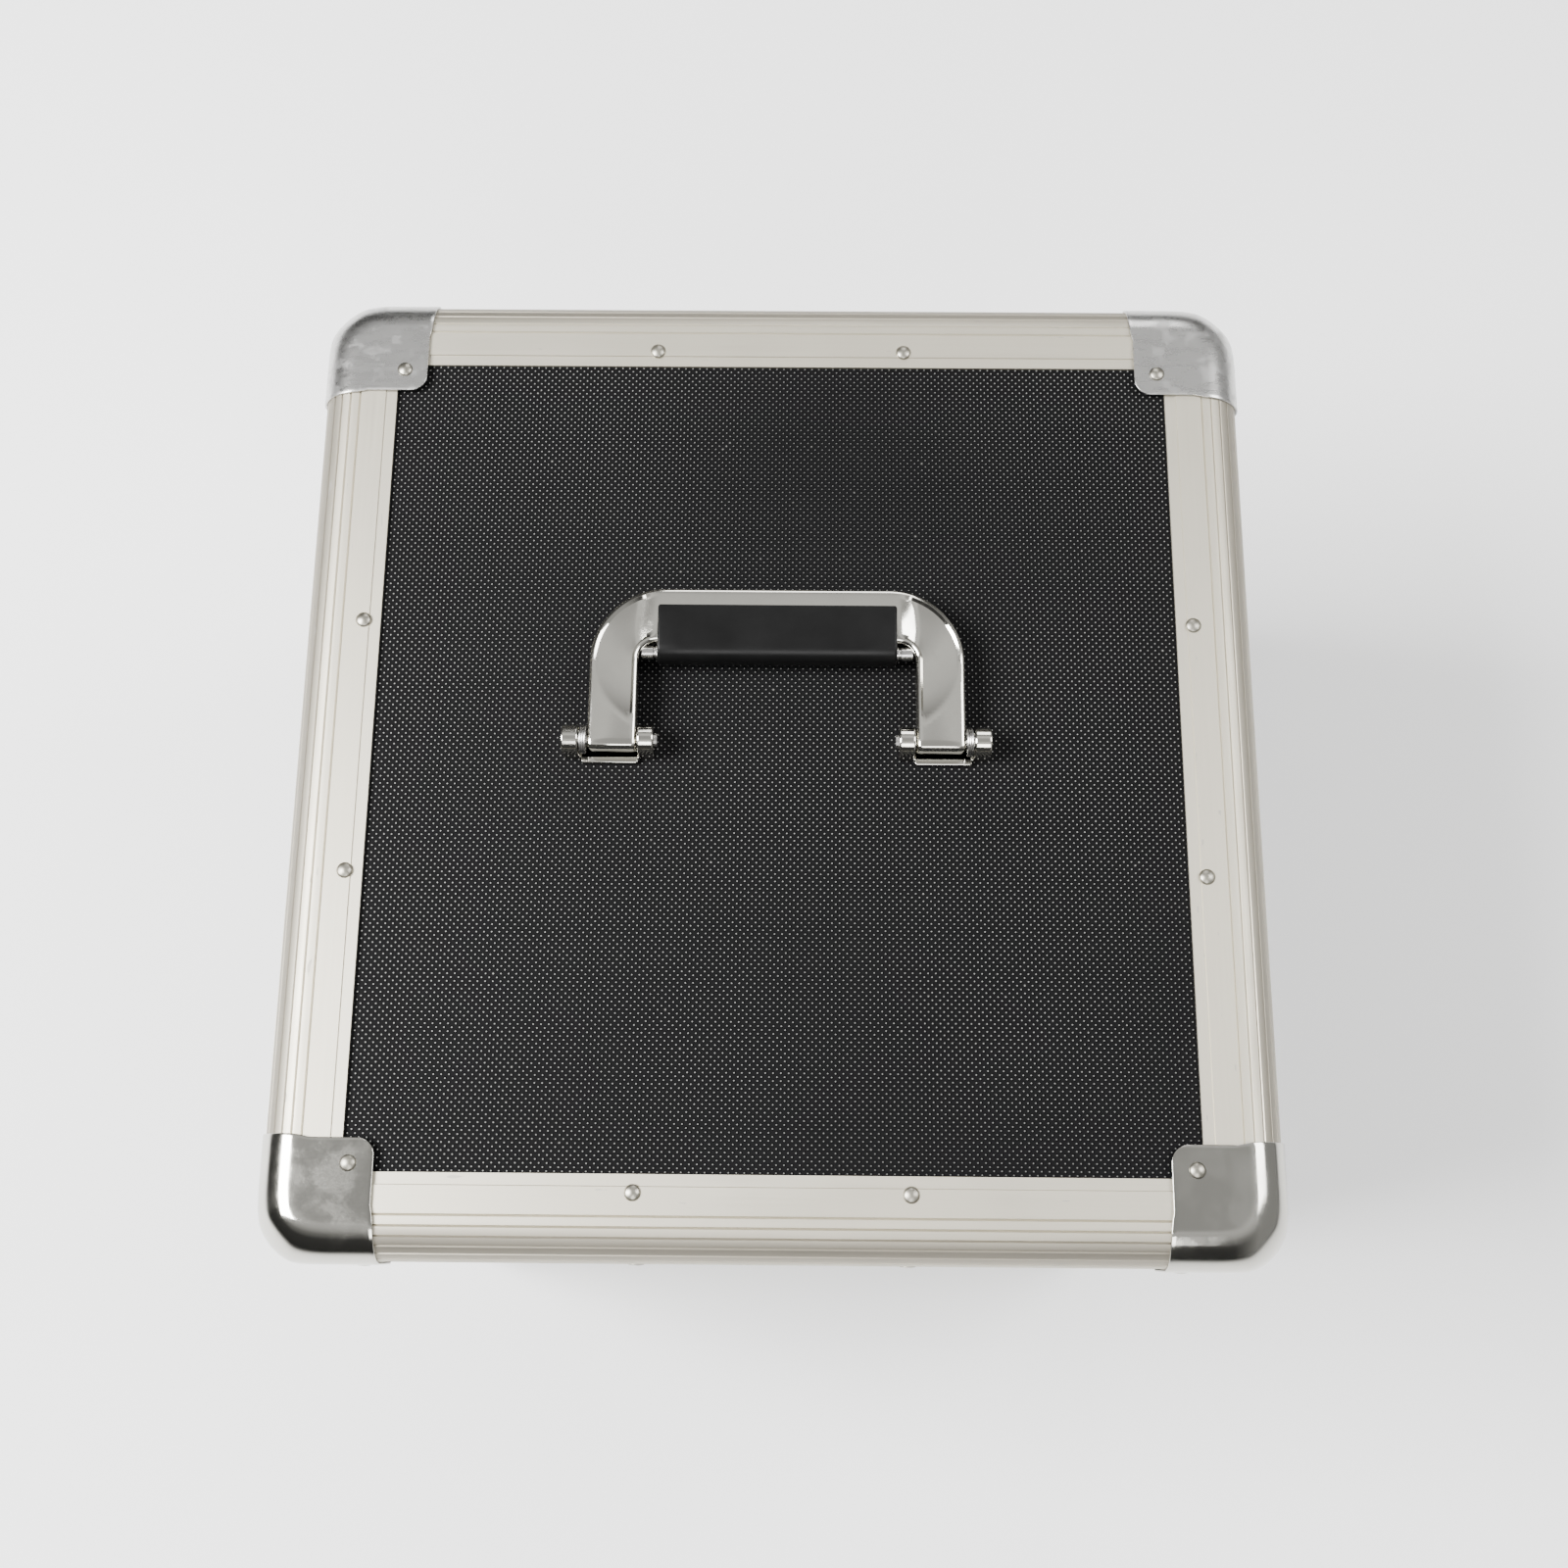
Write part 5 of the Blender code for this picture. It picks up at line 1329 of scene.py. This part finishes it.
    def build(self, finishes: Finishes) -> None:
        """Makes the two dishes, the peg, the cam and the wing."""
        spindle = self.spindle_at()
        seat = spindle + (0, 0, self.drop)
        dish = Dish()
        dish.build(f"latch_dish_{self.side}", seat, -1.0, self.base_height, finishes.steel, "base")
        dish.build(f"latch_keeper_{self.side}", seat, 1.0, self.lid_height, finishes.steel, "lid")
        radius, rise, front = self.peg
        profile = [(0, front), (radius - 0.5 * MM, front), (radius, front + 0.5 * MM), (radius, dish.depth),
                   (radius + 0.6 * MM, dish.depth), (0, dish.depth + 0.3 * MM)]
        peg = Surface().grid(turned(profile, seat + (0, 0, rise), Axis.Y.vector, 32), around=True)
        adopt(peg.piece(f"latch_peg_{self.side}", finishes.rivet), "lid", "nickel_steel")
        for surface, at, name in ((self.cam(), spindle, f"latch_cam_{self.side}"),
                                  (self.wing(), spindle + (0, self.wing_depth, 0), f"latch_wing_{self.side}")):
            surface.points = [points + at for points in surface.points]
            piece = surface.piece(f"fine_{name}", finishes.latch)
            ease_edges(piece, 0.2 * MM, angle=50.0)
            adopt(piece, name, "chrome", name)


@dataclass(frozen=True)
class HingeLeaf:
    """A piano hinge's leaf: a sheet whose alternate lengths curl into knuckles round the pin."""

    half: Half
    own: int
    half_width: float = 143.0 * MM
    knuckles: int = 11
    radius: float = 3.4 * MM
    bore: float = 1.8 * MM
    out: float = 3.9 * MM
    face: float = 1.8 * MM
    back: float = 0.3 * MM
    height: float = 16.0 * MM
    clear: float = 3.7 * MM

    def build(self, place: Place, finishes: Finishes) -> None:
        """The sheet above the knuckles' room, and one curled bar for each knuckle of the leaf's own."""
        up = self.half.outward
        seat = np.array([0.0, place.back, place.split])
        surface = Surface()
        ends = np.array([seat + (sign * self.half_width, 0, 0) for sign in (-1, 1)])
        edge = 0.35 * MM
        sheet = np.array([(self.back, self.clear), (self.face, self.clear), (self.face, self.height - edge),
                          (self.face - edge, self.height), (self.back, self.height)])
        surface.bar(laid(sheet, ends, Axis.Y.vector, Axis.Z.vector * up))
        meets = math.pi - math.acos((self.out - self.face) / self.radius)
        outer = arc((self.out, 0), self.radius, meets, -math.pi, 32)
        curl = np.concatenate([[(self.back, self.clear), (self.face, self.clear)], outer, [(self.back, 0)]])
        pitch = 2 * self.half_width / self.knuckles
        for index in range(self.own, self.knuckles, 2):
            start = -self.half_width + pitch * index
            reach = np.array([seat + (start + GAP / 2, 0, 0), seat + (start + pitch - GAP / 2, 0, 0)])
            surface.bar(laid(curl, reach, Axis.Y.vector, Axis.Z.vector * up))
        node = f"hinge_{self.half.body}_leaf"
        piece = surface.piece(f"fine_{node}", finishes.steel)
        ease_edges(piece, 0.2 * MM, angle=50.0)
        adopt(piece, self.half.body, "nickel_steel", node)


@dataclass(frozen=True)
class Foot:
    """A moulded rubber foot with a countersunk hole for its screw."""

    radius: float = 16.0 * MM
    tread: float = 14.0 * MM
    edge: float = 1.5 * MM
    hole: float = 4.5 * MM
    recess: float = 4.0 * MM

    def build(self, name: str, finishes: Finishes) -> None:
        """Makes one foot and its screw head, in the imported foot's place."""
        low, high = (np.array(corner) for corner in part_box(name))
        seat = np.array([*(low + high)[:2] / 2, low[2]])
        height = high[2] - low[2]
        turn = np.linspace(0, QUARTER, 7)
        tread = np.stack([self.tread - self.edge + self.edge * np.sin(turn),
                          self.edge * (1 - np.cos(turn))], axis=-1)
        profile = [(0, self.recess), (self.hole, self.recess), (self.hole + 0.2 * MM, 0.6 * MM),
                   (self.hole + 0.9 * MM, 0), (9.0 * MM, 0), (9.3 * MM, 0.5 * MM), (10.1 * MM, 0.5 * MM),
                   (10.4 * MM, 0), *tread, (self.radius, height - 0.8 * MM), (self.radius - 0.6 * MM, height),
                   (0, height)]
        foot = Surface().grid(turned(profile, seat, Axis.Z.vector, 48), around=True)
        adopt(foot.piece(f"fine_{name}", finishes.rubber), "base", "black_rubber", name)
        head = [(0, 1.6 * MM), (1.6 * MM, 1.7 * MM), (2.9 * MM, 2.3 * MM), (3.8 * MM, self.recess),
                (0, self.recess + GAP)]
        screw = Surface().grid(turned(head, seat, Axis.Z.vector, 24), around=True)
        adopt(screw.piece(f"{name}_screw", finishes.rivet), "base", "nickel_steel")


@dataclass(frozen=True)
class FoamTub:
    """The foam lining of a half: a tub with soft edges and a floor that swells a little."""

    corner: float = 3.5 * MM
    thickness: float = 3.0 * MM
    swell: float = 0.8 * MM

    def loop(self, low: np.ndarray, high: np.ndarray, inset: float) -> np.ndarray:
        """A rounded rectangle at an inset from the tub's outer walls."""
        size = (high - low)[:2] / 2 - inset
        return rounded(*size, max(self.corner - inset, 0.5 * MM), 6) + (low + high)[:2] / 2

    def build(self, half: Half, finishes: Finishes) -> None:
        """The loops run from the outer floor up the wall, over the soft mouth, down inside and over the floor."""
        node = f"{half.body}_lining"
        low, high = (np.array(corner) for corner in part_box(node))
        height, thick = high[2] - low[2], self.thickness
        turn = np.linspace(0, 2 * QUARTER, 9)
        mouth = [(thick / 2 * (1 - math.cos(a)), height - thick / 2 + thick / 2 * math.sin(a)) for a in turn]
        heel = [(thick + 2 * MM * (1 - math.cos(a)), thick + 2 * MM * (1 - math.sin(a))) for a in turn[:5]]
        share = np.linspace(0, 1, 13)[1:]
        floor = [(thick + (2 + 130 * s) * MM, thick + self.swell * s * (2 - s)) for s in share]
        walls = [(thick, height * (1 - s)) for s in (0.25, 0.5, 0.75)]
        hangs = half is Half.LID
        rows = []
        for inset, rise in [(0.6 * MM, 0.0), (0.0, 0.6 * MM), *mouth, *walls, *heel, *floor]:
            plan = self.loop(low, high, inset)
            z = high[2] - rise if hangs else low[2] + rise
            rows.append(np.concatenate([plan, np.full((len(plan), 1), z)], axis=-1))
        piece = Surface().bar(np.array(rows)).piece(f"fine_{node}", finishes.foam, smooth_below=60.0)
        adopt(piece, half.body, "lining_foam", node)


# The studio


@dataclass(frozen=True)
class Softbox:
    """A square light: where it hangs, what it looks at, its side and its power."""

    name: str
    place: tuple[float, float, float]
    size: float
    power: float
    target: tuple[float, float, float] = (0.0, 0.0, 0.3)

    def build(self) -> None:
        """Hangs the light."""
        light = bpy.data.lights.new(self.name, "AREA")
        light.shape, light.size, light.energy = "SQUARE", self.size, self.power
        lamp = bpy.data.objects.new(self.name, light)
        lamp.location = self.place
        lamp.rotation_euler = (Vector(self.target) - Vector(self.place)).to_track_quat("-Z", "Y").to_euler()
        bpy.context.scene.collection.objects.link(lamp)


@dataclass(frozen=True)
class Studio:
    """White floor, four softboxes round the case, a dim room and the camera that took the photograph."""

    eye: tuple[float, float, float] = (7.22 * MM, -180.2 * MM, 625.0 * MM)
    turn: tuple[float, float, float] = (14.8063, 0.2512, 0.5218)
    lens: float = 39.375
    sensor: float = 36.0
    boxes: tuple[Softbox, ...] = (
        Softbox("left_softbox", (-1.52, -0.1, 1.9), 1.1, 178.0),
        Softbox("right_softbox", (1.45, 0.3, 1.9), 1.0, 42.0),
        Softbox("near_softbox", (0.1, -1.5, 1.9), 0.9, 22.0),
        Softbox("far_softbox", (0.2, 1.9, 1.5), 0.9, 14.0))
    room: tuple[tuple[float, float], ...] = (
        (0.0, 0.05), (0.5, 0.07), (0.7, 0.28), (0.87, 0.76), (0.945, 0.88), (0.966, 0.54), (1.0, 0.48))
    right_wall: float = 0.42

    def build(self, place: Place) -> None:
        """Sets up the camera over the lid, the lights, the room and the floor."""
        camera = bpy.data.cameras.new("photo_camera")
        camera.lens, camera.sensor_width = self.lens, self.sensor
        camera.clip_start = 0.01
        stand = bpy.data.objects.new("photo_camera", camera)
        stand.location = Vector(self.eye) + Vector((0, place.middle_y, place.top))
        stand.rotation_euler = Euler([math.radians(angle) for angle in self.turn], "XYZ")
        bpy.context.scene.collection.objects.link(stand)
        bpy.context.scene.camera = stand
        for box in self.boxes:
            box.build()
        self._make_room()
        floor = bpy.data.meshes.new("studio_floor")
        reach = 6.0
        floor.from_pydata([(-reach, -reach, 0), (reach, -reach, 0), (reach, reach, 0), (-reach, reach, 0)], [],
                          [(0, 1, 2, 3)])
        floor.materials.append(PaleFloor().material())
        ground = bpy.data.objects.new("studio_floor", floor)
        bpy.context.scene.collection.objects.link(ground)

    def _make_room(self) -> None:
        """A room by height of gaze, dark at the horizon and grey overhead, with a paler wall at the right."""
        world = bpy.data.worlds.new("studio_room")
        bpy.context.scene.world = world
        world.use_nodes = True
        tree = world.node_tree
        where = tree.nodes.new("ShaderNodeTexCoord")
        split = tree.nodes.new("ShaderNodeSeparateXYZ")
        ramp = tree.nodes.new("ShaderNodeValToRGB")
        tree.links.new(where.outputs["Generated"], split.inputs[0])
        tree.links.new(split.outputs["Z"], ramp.inputs[0])
        side = tree.nodes.new("ShaderNodeMapRange")
        side.inputs[1].default_value, side.inputs[2].default_value = 0.35, 0.7
        tree.links.new(split.outputs["X"], side.inputs[0])
        wall = tree.nodes.new("ShaderNodeMix")
        wall.data_type = "RGBA"
        wall.inputs[7].default_value = (self.right_wall, self.right_wall, self.right_wall, 1.0)
        tree.links.new(side.outputs[0], wall.inputs[0])
        tree.links.new(ramp.outputs[0], wall.inputs[6])
        tree.links.new(wall.outputs[2], tree.nodes["Background"].inputs[0])
        Graph.set_stops(ramp.color_ramp, [(height, (tone, tone, tone)) for height, tone in self.room])


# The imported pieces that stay


@dataclass(frozen=True)
class Panels:
    """The laminated panels, which stay as packed, with their textured skins."""

    def build(self, half: Half, nodes: Mapping[str, bpy.types.Object], finishes: Finishes) -> None:
        """Gives each panel the skin of the way that it faces."""
        faces = {half.value[2]: Axis.Z, "front": Axis.Y, "back": Axis.Y, "left": Axis.X, "right": Axis.X}
        for side, axis in faces.items():
            dress(nodes[f"{half.body}_{side}_panel"], finishes.laminate[axis])


def dress(node: bpy.types.Object, material: bpy.types.Material) -> None:
    """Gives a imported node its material."""
    node.data.materials.clear()
    node.data.materials.append(material)
    log.info("dressed %s with %s", node.name, material.name)


def adopt(piece: bpy.types.Object, body: str, slot: str, *nodes: str) -> None:
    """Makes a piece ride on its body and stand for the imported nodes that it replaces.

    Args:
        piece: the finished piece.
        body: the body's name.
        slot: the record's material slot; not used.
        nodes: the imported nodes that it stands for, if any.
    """
    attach(piece, body)
    if nodes:
        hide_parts(*nodes)
    log.info("built %s on %s", piece.name, body)


def main() -> None:
    """Builds the case's classes in order."""
    logging.basicConfig(level=logging.INFO, format="%(message)s")
    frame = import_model()
    nodes = frame["nodes"]
    place = Place.read()
    finishes = Finishes.make(place)
    Studio().build(place)
    for half in Half:
        Panels().build(half, nodes, finishes)
        EdgeExtrusion().build(half, place, finishes)
        MouthRim().build(half, place, finishes)
        BallCorner().build(half, finishes)
        Rivets().build(half, place, finishes)
        FoamTub().build(half, finishes)
        HingeLeaf(half, 1 if half is Half.BASE else 0).build(place, finishes)
    Handle().build(finishes)
    for sign in (-1.0, 1.0):
        TwistLatch(sign).build(finishes)
    for depth in ("front", "back"):
        for width in ("left", "right"):
            Foot().build(f"foot_{depth}_{width}", finishes)
    for name in ("handle_pin_left", "handle_pin_right", "hinge_pin"):
        dress(nodes[name], finishes.steel)


if __name__ == "__main__":
    main()
